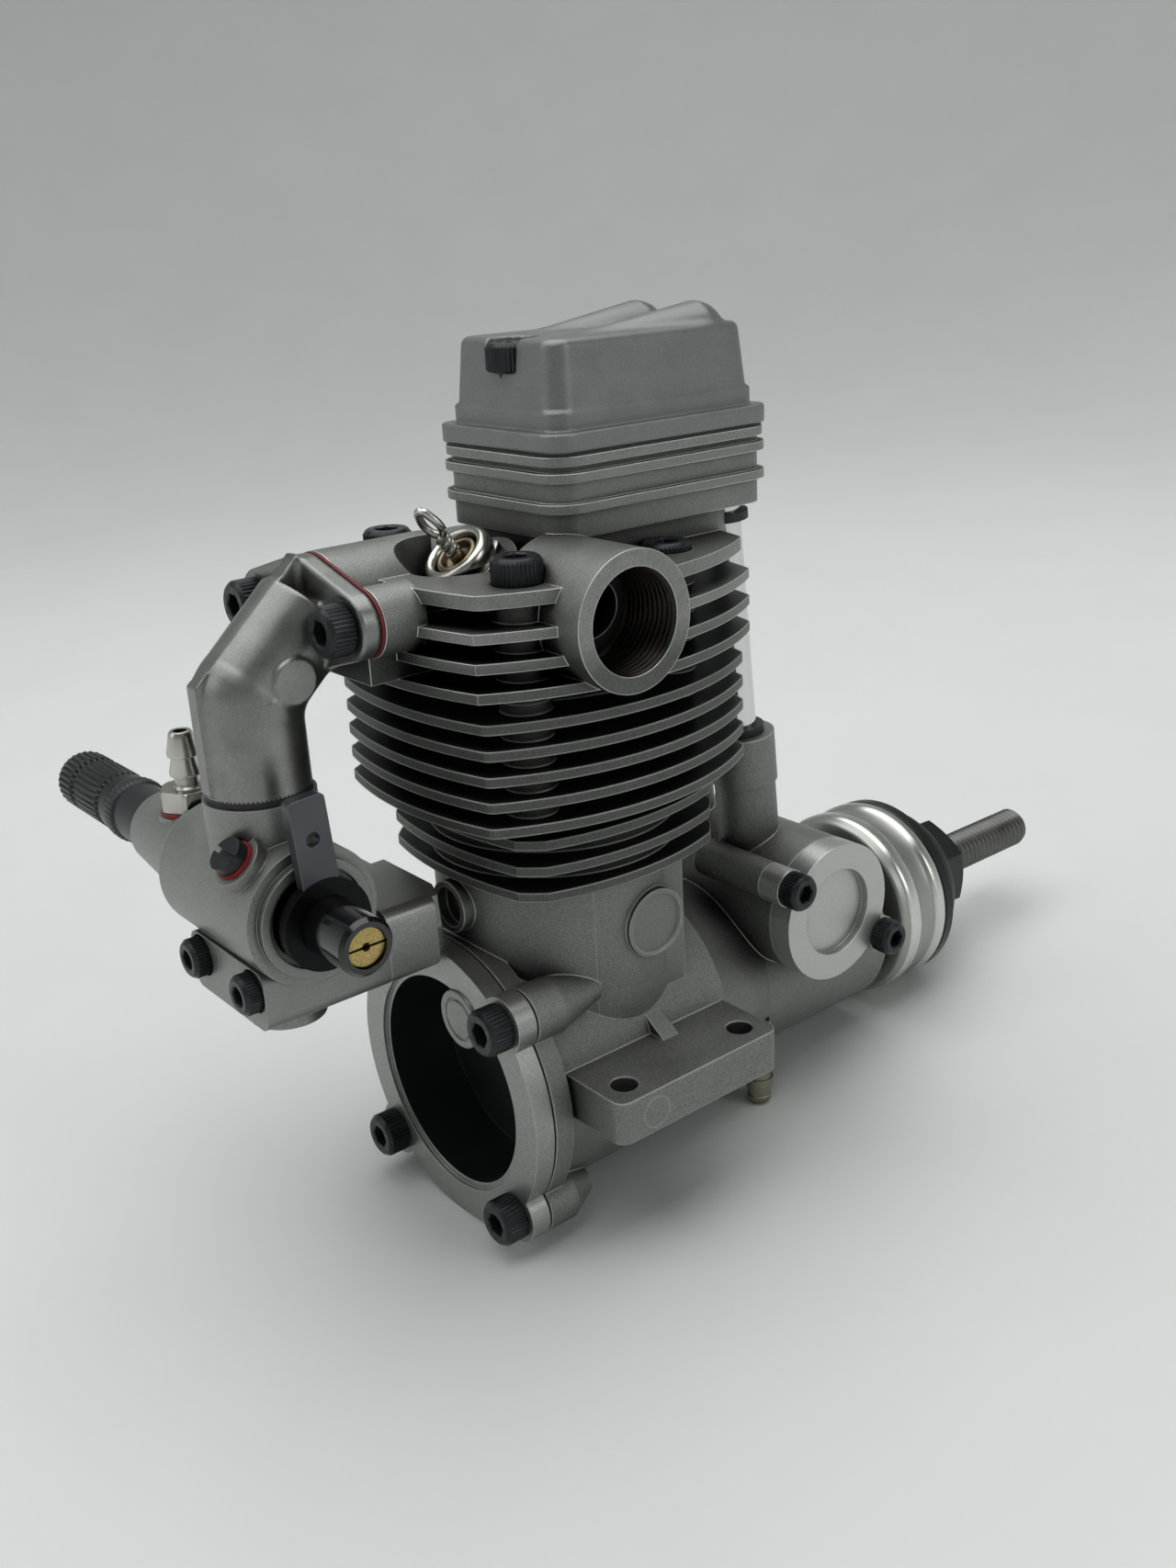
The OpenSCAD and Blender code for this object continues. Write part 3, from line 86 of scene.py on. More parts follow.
# Where a finish or a painted shade changes on a piece, in millimetres.
DISH_WALL_R, DISH_DEPTH = 13.15, 17.7
DRIVER_RIM_Y, GROOVE_Y, GROOVE_HALF = 51.6, 55.55, 1.55
SCREW_HOLE_R, ARM_HUB_R = 0.42, 5.2
LOWEST_FIN_Z, DARK_TOP_Z, DARK_FADE, FINS_FRONT_Y = 25.6, 50.0, 9.0, 20.8


class EngineSizes(bpy.types.PropertyGroup):
    """Sizes of the details that the solids leave plain."""

    # The edge radii also set how wide the painted edge highlights are.
    edge_round: bpy.props.FloatProperty(
        name="Edge rounding", description="Radius of the worn edges on castings",
        default=0.35 * MM, unit="LENGTH")
    fin_edge: bpy.props.FloatProperty(
        name="Fin edge", description="Radius of the rubbed edges on the fins",
        default=0.2 * MM, unit="LENGTH")
    machined_round: bpy.props.FloatProperty(
        name="Machined edge", description="Radius of the broken edges on machined parts",
        default=0.15 * MM, unit="LENGTH")
    thread_pitch: bpy.props.FloatProperty(
        name="Thread pitch", description="Pitch of the shaft thread",
        default=1.0 * MM, unit="LENGTH")
    screw_knurls: bpy.props.IntProperty(
        name="Screw knurls", description="Ridges round a cap screw head", default=36)
    knob_knurls: bpy.props.IntProperty(
        name="Knob knurls", description="Ridges round the needle knob", default=30)


class EngineColours(bpy.types.PropertyGroup):
    """Colours of the finishes."""

    casting: bpy.props.FloatVectorProperty(
        name="Casting", description="Blasted aluminium of the crankcase and head",
        subtype="COLOR", default=(0.215, 0.22, 0.21))
    cover: bpy.props.FloatVectorProperty(
        name="Cover", description="Smoother aluminium of the rocker cover",
        subtype="COLOR", default=(0.205, 0.213, 0.208))
    machined: bpy.props.FloatVectorProperty(
        name="Machined", description="Bright machined aluminium",
        subtype="COLOR", default=(0.52, 0.525, 0.505))
    blackened: bpy.props.FloatVectorProperty(
        name="Blackened", description="Black oxide of the screws",
        subtype="COLOR", default=(0.018, 0.019, 0.021))
    brass: bpy.props.FloatVectorProperty(
        name="Brass", description="Turned brass of the mixture screw",
        subtype="COLOR", default=(0.44, 0.33, 0.13))
    backdrop: bpy.props.FloatVectorProperty(
        name="Backdrop", description="Pale paper under and behind the engine",
        subtype="COLOR", default=(0.70, 0.72, 0.71))


def sizes():
    """The sizes as the panel has them."""
    return bpy.context.scene.engine_sizes


def colours():
    """The colours as the panel has them."""
    return bpy.context.scene.engine_colours


# Mesh building

class Shell:
    """Gathers grids of points into one mesh and writes it out at the end."""

    def __init__(self):
        self.points = []
        self.faces = []
        self.count = 0

    def grid(self, points, wrap_u=False, wrap_v=True):
        """points[u, v] are joined to their neighbours by quads, and wrap closes a direction."""
        nu, nv = points.shape[:2]
        index = np.arange(nu * nv).reshape(nu, nv) + self.count
        u_next = np.roll(index, -1, axis=0)
        v_next = np.roll(index, -1, axis=1)
        both = np.roll(u_next, -1, axis=1)
        quads = np.stack([index, v_next, both, u_next], axis=-1)
        quads = quads[: nu if wrap_u else nu - 1, : nv if wrap_v else nv - 1].reshape(-1, 4)
        self.faces.append(quads)
        self.points.append(points.reshape(-1, 3))
        self.count += nu * nv

    def cap(self, ring, flip=False):
        """ring is closed by one triangle fan about its middle."""
        ring = np.asarray(ring)
        n = len(ring)
        middle = self.count + n
        index = np.arange(n) + self.count
        fan = np.stack([index, np.roll(index, -1), np.full(n, middle), np.full(n, middle)], axis=-1)
        self.faces.append(fan[:, [1, 0, 2, 3]] if flip else fan)
        self.points.append(np.vstack([ring, ring.mean(axis=0)]))
        self.count += n + 1

    def make(self, name, body, replaces=(), sharp=40.0):
        """Writes the mesh in metres, merges what touches and points its faces outwards."""
        points = np.vstack(self.points) * MM
        quads = np.vstack(self.faces)
        mesh = bpy.data.meshes.new(name)
        faces = [tuple(dict.fromkeys(q)) for q in quads.tolist()]
        mesh.from_pydata(points, [], [f for f in faces if len(f) > 2])
        join_points(mesh, outwards=True)
        mesh.set_sharp_from_angle(angle=math.radians(sharp))
        return tie_piece(name, mesh, body, replaces)


def join_points(mesh, outwards):
    """Merges points that touch and smooths the faces, which may all be turned outwards."""
    work = bmesh.new()
    work.from_mesh(mesh)
    bmesh.ops.remove_doubles(work, verts=work.verts, dist=1e-6)
    if outwards:
        bmesh.ops.recalc_face_normals(work, faces=work.faces)
    work.to_mesh(mesh)
    work.free()
    mesh.polygons.foreach_set("use_smooth", np.ones(len(mesh.polygons), bool))


def tie_piece(name, mesh, body, replaces):
    """Puts a mesh in the scene, ties it to its body and hides the nodes it stands for."""
    piece = bpy.data.objects.new(name, mesh)
    bpy.context.collection.objects.link(piece)
    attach(piece, body)
    if replaces:
        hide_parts(*replaces)
    return piece


def circle(n):
    """n angles evenly spaced round a turn."""
    return np.linspace(0, 2 * np.pi, n, endpoint=False)


def frame_of(axis, up=(0, 0, 1)):
    """Three unit vectors with the third along axis."""
    w = np.asarray(axis, float)
    w = w / np.linalg.norm(w)
    u = np.cross(up, w)
    if np.linalg.norm(u) < 1e-6:
        u = np.cross((1, 0, 0), w)
    u = u / np.linalg.norm(u)
    return u, np.cross(w, u), w


def turned(profile, origin, axis, n=64, radius_of=None, up=(0, 0, 1)):
    """Points of a profile of (height, radius) rows turned about an axis.

    A point is origin + height * axis + radius * (cos t * u + sin t * v). radius_of may
    change the radius row by row and angle by angle.
    """
    u, v, w = frame_of(axis, up)
    t = circle(n)
    rows = np.asarray(profile, float)
    radius = np.repeat(rows[:, 1:2], n, axis=1)
    if radius_of is not None:
        radius = radius_of(radius, t[None, :])
    out = np.asarray(origin, float) + rows[:, 0, None, None] * w
    out = out + radius[..., None] * (np.cos(t)[None, :, None] * u + np.sin(t)[None, :, None] * v)
    return out


def hexagon_radius(t, across):
    """Half the width across flats over the cosine of the angle from the nearest flat."""
    return across / 2 / np.cos(np.mod(t, np.pi / 3) - np.pi / 6)


def turned_piece(name, finish, body, node, rows, origin, axis, n, sharp, shape=None,
                 up=ALONG_Z):
    """A closed profile turned about an axis. node is the solid that the piece stands for."""
    shell = Shell()
    shell.grid(turned(rows, origin, axis, n, shape, up))
    give_finish(shell.make(name, body, (node,) if node else (), sharp), finish)


# Materials

def fresh_material(name):
    """An empty material with its output and one Principled shader."""
    material = bpy.data.materials.new(name)
    material.use_nodes = True
    nodes = material.node_tree.nodes
    nodes.clear()
    out = nodes.new("ShaderNodeOutputMaterial")
    shader = nodes.new("ShaderNodeBsdfPrincipled")
    material.node_tree.links.new(shader.outputs[0], out.inputs[0])
    return material, nodes, material.node_tree.links, shader


def noise(nodes, links, size_mm, detail=3.0, rough=0.55):
    """A noise of the given grain in millimetres on Object coordinates."""
    where = nodes.new("ShaderNodeTexCoord")
    grain = nodes.new("ShaderNodeTexNoise")
    grain.inputs["Scale"].default_value = 1.0 / (size_mm * MM)
    grain.inputs["Detail"].default_value = detail
    grain.inputs["Roughness"].default_value = rough
    links.new(where.outputs["Object"], grain.inputs["Vector"])
    return grain.outputs["Fac"]


def ramp(nodes, links, factor, low, high, start=0.3, stop=0.7):
    """A two-stop colour ramp."""
    node = nodes.new("ShaderNodeValToRGB")
    node.color_ramp.elements[0].position = start
    node.color_ramp.elements[1].position = stop
    node.color_ramp.elements[0].color = (*low, 1)
    node.color_ramp.elements[1].color = (*high, 1)
    links.new(factor, node.inputs["Fac"])
    return node.outputs["Color"]


def map_range(nodes, links, value, start, stop, low=0.0, high=1.0, smooth=False):
    """Maps a value between start and stop onto low to high, level past either end."""
    node = nodes.new("ShaderNodeMapRange")
    if smooth:
        node.interpolation_type = "SMOOTHSTEP"
    for key, number in zip(("From Min", "From Max", "To Min", "To Max"), (start, stop, low, high)):
        node.inputs[key].default_value = number
    links.new(value, node.inputs["Value"])
    return node.outputs["Result"]


def span(nodes, links, factor, low, high):
    """Maps the middle of a noise onto the range from low to high."""
    return map_range(nodes, links, factor, 0.3, 0.7, low, high)


def blend_colour(nodes, links, mode, factor, a, b):
    """Mixes two colour sockets."""
    node = nodes.new("ShaderNodeMix")
    node.data_type = "RGBA"
    node.blend_type = mode
    if isinstance(factor, float):
        node.inputs[0].default_value = factor
    else:
        links.new(factor, node.inputs[0])
    for socket, value in ((node.inputs[6], a), (node.inputs[7], b)):
        if isinstance(value, tuple):
            socket.default_value = (*value, 1)
        else:
            links.new(value, socket)
    return node.outputs[2]


def scaled(colour, k):
    """A colour times k, held at white."""
    return tuple(min(1.0, c * k) for c in colour)


# Ambient occlusion: it sets where the metals get their painted shade.
def crevice(nodes, reach_mm):
    """0 in a tight corner and 1 in the open."""
    node = nodes.new("ShaderNodeAmbientOcclusion")
    node.samples = 4
    node.inputs["Distance"].default_value = reach_mm * MM
    return node.outputs["AO"]


def edge_highlight_mask(nodes, links, rounded_normal):
    """Where the painted edge highlight goes: 1 on a sharp edge and 0 on a flat, by how far the
    rounded normal leans from the true one.
    """
    where = nodes.new("ShaderNodeNewGeometry")
    lean = nodes.new("ShaderNodeVectorMath")
    lean.operation = "DOT_PRODUCT"
    links.new(where.outputs["True Normal"], lean.inputs[0])
    links.new(rounded_normal, lean.inputs[1])
    still_flat, fully_highlit = 0.985, 0.86
    return map_range(nodes, links, lean.outputs["Value"], still_flat, fully_highlit)


def place_parts(nodes, links, centre=(0.0, 0.0, 0.0)):
    """X, Y and Z sockets of a point less a centre, in metres, on Object coordinates."""
    where = nodes.new("ShaderNodeTexCoord")
    move = nodes.new("ShaderNodeVectorMath")
    move.operation = "SUBTRACT"
    move.inputs[1].default_value = centre
    links.new(where.outputs["Object"], move.inputs[0])
    split = nodes.new("ShaderNodeSeparateXYZ")
    links.new(move.outputs["Vector"], split.inputs[0])
    return split.outputs


def calc(nodes, links, operation, a, b=0.0):
    """One step of arithmetic on sockets or numbers."""
    node = nodes.new("ShaderNodeMath")
    node.operation = operation
    for socket, value in zip(node.inputs, (a, b)):
        if isinstance(value, float):
            socket.default_value = value
        else:
            links.new(value, socket)
    return node.outputs[0]


def below(nodes, links, value, limit, blur):
    """1 where a value is under a limit, falling to 0 over the blur."""
    return map_range(nodes, links, value, limit + blur, limit)


def within(nodes, links, a, b, radius_mm, blur_mm):
    """1 where the root of the sum of two squares is under a radius."""
    square = calc(nodes, links, "ADD", calc(nodes, links, "MULTIPLY", a, a),
                  calc(nodes, links, "MULTIPLY", b, b))
    return below(nodes, links, calc(nodes, links, "SQRT", square), radius_mm * MM, blur_mm * MM)


def dish_shade_zone(nodes, links):
    """The inside of the dish, which gets a painted shade: nearer to the shaft's axis than its wall
    and behind its rim.
    """
    x, y, z = place_parts(nodes, links)
    near = within(nodes, links, x, z, DISH_WALL_R, 0.1)
    deep = below(nodes, links, calc(nodes, links, "MULTIPLY", y, -1.0), DISH_DEPTH * MM, 0.2 * MM)
    return calc(nodes, links, "MULTIPLY", near, deep)


def driver_zone(nodes, links):
    """The satin bands of the driver: its back rim and the shallow groove round its middle."""
    y = place_parts(nodes, links)[1]
    back = below(nodes, links, y, DRIVER_RIM_Y * MM, 0.08 * MM)
    away = calc(nodes, links, "ABSOLUTE", calc(nodes, links, "SUBTRACT", y, GROOVE_Y * MM))
    return calc(nodes, links, "MAXIMUM", back,
                below(nodes, links, away, GROOVE_HALF * MM, 0.08 * MM))


def barrel_zone(nodes, links, radius_mm, blur_mm):
    """Whatever is nearer to the throttle barrel's axis than a radius."""
    parts = place_parts(nodes, links, (0.0, CARB_Y * MM, BARREL_Z * MM))
    return within(nodes, links, parts["Y"], parts["Z"], radius_mm, blur_mm)


def screw_hole_shade(nodes, links):
    """The small centre hole in the end of the mixture screw, which gets a painted shade."""
    return barrel_zone(nodes, links, SCREW_HOLE_R, 0.12)


def hub_zone(nodes, links):
    """The hub of the throttle arm."""
    return barrel_zone(nodes, links, ARM_HUB_R, 0.1)


def fin_zone(nodes, links):
    """The fins, made darker, from the lowest up to those below the top plate and fading out
    above them, and not the pushrod towers in front of them."""
    parts = place_parts(nodes, links)
    under = below(nodes, links, parts["Z"], LOWEST_FIN_Z * MM, 0.5 * MM)
    darker = below(nodes, links, parts["Z"], DARK_TOP_Z * MM, DARK_FADE * MM)
    band = calc(nodes, links, "SUBTRACT", darker, under)
    return calc(nodes, links, "MULTIPLY", band,
                below(nodes, links, parts["Y"], FINS_FRONT_Y * MM, 0.4 * MM))


def bumped(nodes, links, strength, grain_mm, normal):
    """A normal roughened by a noise of the given grain."""
    relief = nodes.new("ShaderNodeBump")
    relief.inputs["Strength"].default_value = strength
    relief.inputs["Distance"].default_value = grain_mm * MM
    links.new(noise(nodes, links, grain_mm, 3.0, 0.6), relief.inputs["Height"])
    if normal is not None:
        links.new(normal, relief.inputs["Normal"])
    return relief.outputs["Normal"]


def metal(name, colour, metallic, rough, grain_mm=0.0, bump=0.0, edge=0.0, spread=0.12,
          painted_shade=0.0, coat=0.0, patch_mm=6.0, reach_mm=2.5, edge_highlight=0.0, speck=0.5, zone=None,
          darkening=None):
    """A metal whose tone and roughness wander in patches, with a blasted grain, painted shade in
    corners and a painted highlight on edges. A zone is a rule, a colour and a roughness for a
    part of the surface, and darkening is a rule and the share of the tone that is left there."""
    material, nodes, links, shader = fresh_material(name)
    patch = noise(nodes, links, patch_mm, 4.0)
    tone = ramp(nodes, links, patch, scaled(colour, 1 - spread), scaled(colour, 1 + spread))
    if grain_mm:
        grain = noise(nodes, links, grain_mm * 1.1, 3.0)
        speckled = ramp(nodes, links, grain, scaled(colour, 0.55), scaled(colour, 1.45), 0.38, 0.62)
        tone = blend_colour(nodes, links, "MIX", speck, tone, speckled)
    # Painted shade: the tone darkens in corners, hollows and the gaps between fins.
    if painted_shade:
        open_air = crevice(nodes, reach_mm)
        shade = ramp(nodes, links, open_air, (1 - painted_shade,) * 3, (1.0, 1.0, 1.0), 0.25, 0.85)
        tone = blend_colour(nodes, links, "MULTIPLY", 1.0, tone, shade)
    # The fins are made darker here, by the share that is left.
    if darkening:
        rule, left = darkening
        darker = span(nodes, links, rule(nodes, links), 1.0, left)
        tone = blend_colour(nodes, links, "MULTIPLY", 1.0, tone, darker)
    rounded = None
    if edge:
        rounded = nodes.new("ShaderNodeBevel")
        rounded.samples = 6
        rounded.inputs["Radius"].default_value = edge
    # Painted highlight: sharp edges are lightened as if they caught the light.
    if edge_highlight:
        highlit = edge_highlight_mask(nodes, links, rounded.outputs["Normal"])
        tone = blend_colour(nodes, links, "MIX", highlit, tone, scaled(colour, 1 + edge_highlight))
    rough_map = span(nodes, links, patch, rough * 0.88, rough * 1.12)
    if zone:
        rule, zone_colour, zone_rough = zone
        inside = rule(nodes, links)
        tone = blend_colour(nodes, links, "MIX", inside, tone, zone_colour)
        shift = calc(nodes, links, "MULTIPLY", inside, zone_rough - rough)
        rough_map = calc(nodes, links, "ADD", rough_map, shift)
    links.new(tone, shader.inputs["Base Color"])
    shader.inputs["Metallic"].default_value = metallic
    links.new(rough_map, shader.inputs["Roughness"])
    if coat:
        shader.inputs["Coat Weight"].default_value = coat
        shader.inputs["Coat Roughness"].default_value = 0.08
    normal = rounded.outputs["Normal"] if edge else None
    if bump:
        normal = bumped(nodes, links, bump, grain_mm, normal)
    if normal is not None:
        links.new(normal, shader.inputs["Normal"])
    return material


def plain(name, colour, rough):
    """Rubber, paper or fibre, a little uneven in tone."""
    material, nodes, links, shader = fresh_material(name)
    patch = noise(nodes, links, 1.5, 3.0)
    links.new(ramp(nodes, links, patch, scaled(colour, 0.9), scaled(colour, 1.1)),
              shader.inputs["Base Color"])
    links.new(span(nodes, links, patch, rough * 0.9, rough * 1.1), shader.inputs["Roughness"])
    return material


FINISHES = {}


def make_finishes():
    """One material for each finish that the photograph shows."""
    c, s = colours(), sizes()
    casting, machined, blackened = tuple(c.casting), tuple(c.machined), tuple(c.blackened)
    FINISHES.update({
        "casting": metal("blasted_casting", casting, 0.8, 0.46, 0.15, 0.5, s.edge_round,
                         painted_shade=0.75, reach_mm=6.0, edge_highlight=1.3, spread=0.16, darkening=(fin_zone, 0.45)),
        "head": metal("blasted_head", scaled(casting, 1.12), 0.8, 0.42, 0.14, 0.35, s.fin_edge,
                      painted_shade=0.97, reach_mm=8.0, edge_highlight=2.6, spread=0.2, speck=0.4,
                      darkening=(fin_zone, 0.45)),
        "cover": metal("satin_cover", tuple(c.cover), 0.65, 0.4, 0.14, 0.08, s.edge_round,
                       spread=0.08, painted_shade=0.35, speck=0.18, patch_mm=3.0, edge_highlight=0.3),
        "pipe": metal("pipe_casting", scaled(casting, 1.15), 0.9, 0.34, 0.14, 0.1, s.edge_round,
                      spread=0.2, painted_shade=0.6, reach_mm=4.0, speck=0.25, patch_mm=4.0),
        "carb": metal("carburettor_casting", scaled(casting, 1.2), 0.82, 0.42, 0.14, 0.12,
                      s.machined_round, spread=0.1, painted_shade=0.6, reach_mm=4.0, edge_highlight=0.6, speck=0.3),
        "machined": metal("machined_aluminium", machined, 0.95, 0.28, 0.0, 0.0, s.machined_round,
                          spread=0.05, painted_shade=0.3),
        # The inside of the deep dish gets a painted shade, near black.
        "dish": metal("satin_dish_painted_shade", scaled(machined, 0.62), 0.85, 0.38, 0.1, 0.05,
                      s.machined_round, spread=0.05, painted_shade=0.3, edge_highlight=0.6,
                      zone=(dish_shade_zone, (0.055, 0.06, 0.063), 0.36)),
        "cam_face": metal("satin_cam_cover", scaled(machined, 0.95), 0.85, 0.36, 0.1, 0.05,
                          s.machined_round, spread=0.05, painted_shade=0.45, edge_highlight=0.4),
        "bright": metal("ground_steel", (0.55, 0.55, 0.55), 1.0, 0.24, edge=s.machined_round,
                        spread=0.05),
        "nickel": metal("nickel_plate", (0.52, 0.51, 0.47), 1.0, 0.24, edge=s.machined_round,
                        spread=0.06, painted_shade=0.55),
        "plug_inside": metal("stained_nickel", (0.30, 0.25, 0.16), 1.0, 0.34, spread=0.15,
                             painted_shade=0.75),
        "dull": metal("dull_brass", (0.30, 0.285, 0.21), 0.9, 0.36, edge=0.1 * MM, spread=0.12,
                      painted_shade=0.5),
        "blackened": metal("black_oxide", blackened, 0.4, 0.34, 0.08, 0.08, 0.08 * MM,
                           spread=0.2),
        "shaft": metal("dark_shaft", (0.14, 0.14, 0.135), 0.9, 0.36, spread=0.2, painted_shade=0.5),
        "washer": metal("oiled_black", (0.018, 0.024, 0.023), 0.5, 0.3, edge=s.machined_round,
                        spread=0.15, painted_shade=0.3),
        "gloss": metal("polished_black", (0.006, 0.006, 0.007), 0.3, 0.12, spread=0.1, coat=0.6),
        "arm": metal("dark_arm", (0.085, 0.092, 0.1), 0.85, 0.34, edge=0.12 * MM, spread=0.15,
                     edge_highlight=1.2, zone=(hub_zone, (0.008, 0.008, 0.009), 0.3)),
        "polished": metal("polished_driver", (0.64, 0.645, 0.61), 1.0, 0.27,
                          edge=s.machined_round, spread=0.05, painted_shade=0.3,
                          zone=(driver_zone, (0.36, 0.365, 0.34), 0.4)),
        "knob": metal("black_knob", (0.02, 0.021, 0.022), 0.4, 0.3, spread=0.2, painted_shade=0.3),
        "holder": metal("dark_holder", (0.035, 0.037, 0.04), 0.5, 0.36, spread=0.15),
        # The mixture screw's centre hole is a painted shade, not a cut.
        "brass": metal("turned_brass", tuple(c.brass), 1.0, 0.34, 0.25, 0.1, spread=0.2,
                       painted_shade=0.5, patch_mm=1.5, zone=(screw_hole_shade, (0.02, 0.012, 0.006), 0.6)),
        "copper": metal("soft_copper", (0.4, 0.22, 0.13), 1.0, 0.38, spread=0.1),
        # The thread inside the exhaust port is near black.
        "port": metal("dark_port_thread", (0.034, 0.029, 0.025), 0.85, 0.4, spread=0.25, painted_shade=0.85,
                      reach_mm=6.0),
        "red": plain("red_fibre", (0.22, 0.01, 0.009), 0.5),
        "gasket": plain("red_paper", (0.13, 0.01, 0.012), 0.65),
        "dark_gasket": plain("dark_paper", (0.02, 0.018, 0.017), 0.7),
        "rubber": plain("black_rubber", (0.012, 0.012, 0.012), 0.55),
        "tube": metal("polished_tube", (0.7, 0.7, 0.7), 1.0, 0.12, spread=0.03),
    })


NODE_FINISH = {
    "crankcase": "casting", "cylinder_head": "head", "rocker_cover": "cover",
    "back_cover": "dish", "cam_cover": "cam_face", "intake_manifold": "pipe",
    # The head gasket is painted dark as the shade in the gap between the fins.
    "carburettor_body": "carb", "cylinder_liner": "bright", "head_gasket": "dark_gasket",
    "head_screws": "blackened", "rocker_cover_gasket": "rubber",
    "rocker_cover_screws": "blackened", "back_cover_gasket": "dark_gasket",
    "back_cover_screws": "blackened", "cam_cover_screws": "blackened",
    "cam_bearings": "bright", "manifold_gasket": "gasket", "manifold_screws": "blackened",
    "manifold_seal": "rubber", "glow_plug": "nickel", "glow_plug_washer": "copper",
    "carburettor_screws": "blackened", "throttle_barrel": "gloss", "throttle_arm": "arm",
    "idle_screw": "brass", "barrel_guide_screw": "blackened", "guide_screw_washer": "red",
    "fuel_nipple": "nickel", "nipple_washer": "red", "needle_valve": "blackened",
    "needle_holder": "blackened", "crankshaft": "shaft", "crank_gear": "bright",
    "front_bearing": "bright", "rear_bearing": "bright", "drive_collet": "machined",
    "prop_driver": "machined", "prop_washer": "washer", "prop_nut": "washer",
    "piston": "machined", "piston_ring": "bright", "wrist_pin": "bright",
    "connecting_rod": "machined", "crank_pin": "bright", "camshaft": "bright",
    "cam_gear": "bright", "intake_tappet": "bright", "exhaust_tappet": "bright",
    "intake_pushrod": "bright", "exhaust_pushrod": "bright", "pushrod_tubes": "tube",
    "pushrod_tube_seals": "rubber", "intake_rocker": "bright", "exhaust_rocker": "bright",
    "rocker_shaft": "bright", "intake_valve": "bright", "exhaust_valve": "bright",
    "intake_spring": "bright", "exhaust_spring": "bright", "breather_nipple": "dull",
}


def give_finish(piece, finish):
    """Gives a piece one finish all over."""
    piece.data.materials.clear()
    piece.data.materials.append(FINISHES[finish])


class ENGINE_OT_finishes(bpy.types.Operator):
    """Makes the finishes and gives each solid its own"""

    bl_idname = "engine.finishes"
    bl_label = "Finishes"

    def execute(self, context):
        make_finishes()
        for node, finish in NODE_FINISH.items():
            give_finish(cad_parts[node], finish)
        return {"FINISHED"}


# Distance fields: each takes points as three arrays in millimetres and gives the signed
# distance to a solid, which is negative inside.

def f_box(p, lo, hi, edge=0.0):
    """Box between two corners. Outside it is the length of the positive part of q, where q is
    the distance from the middle less the half size; edge rounds every edge by that radius."""
    q = [np.abs(c - (a + b) / 2) - ((b - a) / 2 - edge) for c, a, b in zip(p, lo, hi)]
    outside = np.sqrt(sum(np.maximum(c, 0) ** 2 for c in q))
    return outside + np.minimum(np.maximum(np.maximum(q[0], q[1]), q[2]), 0) - edge


def f_slab(flat, along, low, high, edge=0.0):
    """A flat outline's distance carried along an axis from low to high, with rounded rims."""
    q0 = flat + edge
    q1 = np.abs(along - (low + high) / 2) - ((high - low) / 2 - edge)
    outside = np.sqrt(np.maximum(q0, 0) ** 2 + np.maximum(q1, 0) ** 2)
    return outside + np.minimum(np.maximum(q0, q1), 0) - edge


def f_rod(p, a, b, r0, r1=None, edge=0.0):
    """Round rod from point a to point b. The flat outline is the distance from the axis less a
    radius that runs from r0 to r1."""
    r1 = r0 if r1 is None else r1
    a, b = np.asarray(a, float), np.asarray(b, float)
    length = np.linalg.norm(b - a)
    w = (b - a) / length
    d = [c - s for c, s in zip(p, a)]
    along = d[0] * w[0] + d[1] * w[1] + d[2] * w[2]
    away = np.sqrt(np.maximum(d[0] ** 2 + d[1] ** 2 + d[2] ** 2 - along ** 2, 0))
    share = np.clip(along / length, 0, 1)
    slope = math.cos(math.atan2(abs(r1 - r0), length))
    return f_slab((away - (r0 + (r1 - r0) * share)) * slope, along, 0, length, edge)


def f_drop(p, a, b, r0, r1):
    """Round-ended bar: the distance to the nearest point of the line ab, less a radius that
    runs from r0 to r1."""
    a, b = np.asarray(a, float), np.asarray(b, float)
    d = [c - s for c, s in zip(p, a)]
    line = b - a
    share = np.clip((d[0] * line[0] + d[1] * line[1] + d[2] * line[2]) / (line @ line), 0, 1)
    away = np.sqrt(sum((c - share * s) ** 2 for c, s in zip(d, line)))
    return away - (r0 + (r1 - r0) * share)


def flat_rounded(u, v, u_half, v_low, v_high, corner):
    """A flat rectangle with round corners, symmetrical in u."""
    qu = np.abs(u) - (u_half - corner)
    qv = np.abs(v - (v_low + v_high) / 2) - ((v_high - v_low) / 2 - corner)
    outside = np.sqrt(np.maximum(qu, 0) ** 2 + np.maximum(qv, 0) ** 2)
    return outside + np.minimum(np.maximum(qu, qv), 0) - corner


def f_join(a, b, k):
    """Both solids, with a fillet of about k where they meet."""
    if k <= 0:
        return np.minimum(a, b)
    h = np.clip(0.5 + 0.5 * (b - a) / k, 0, 1)
    return b + (a - b) * h - k * h * (1 - h)


def f_cut(a, b, k=0.0):
    """Solid a less solid b, with the cut's rim eased by about k."""
    return -f_join(-a, b, k)


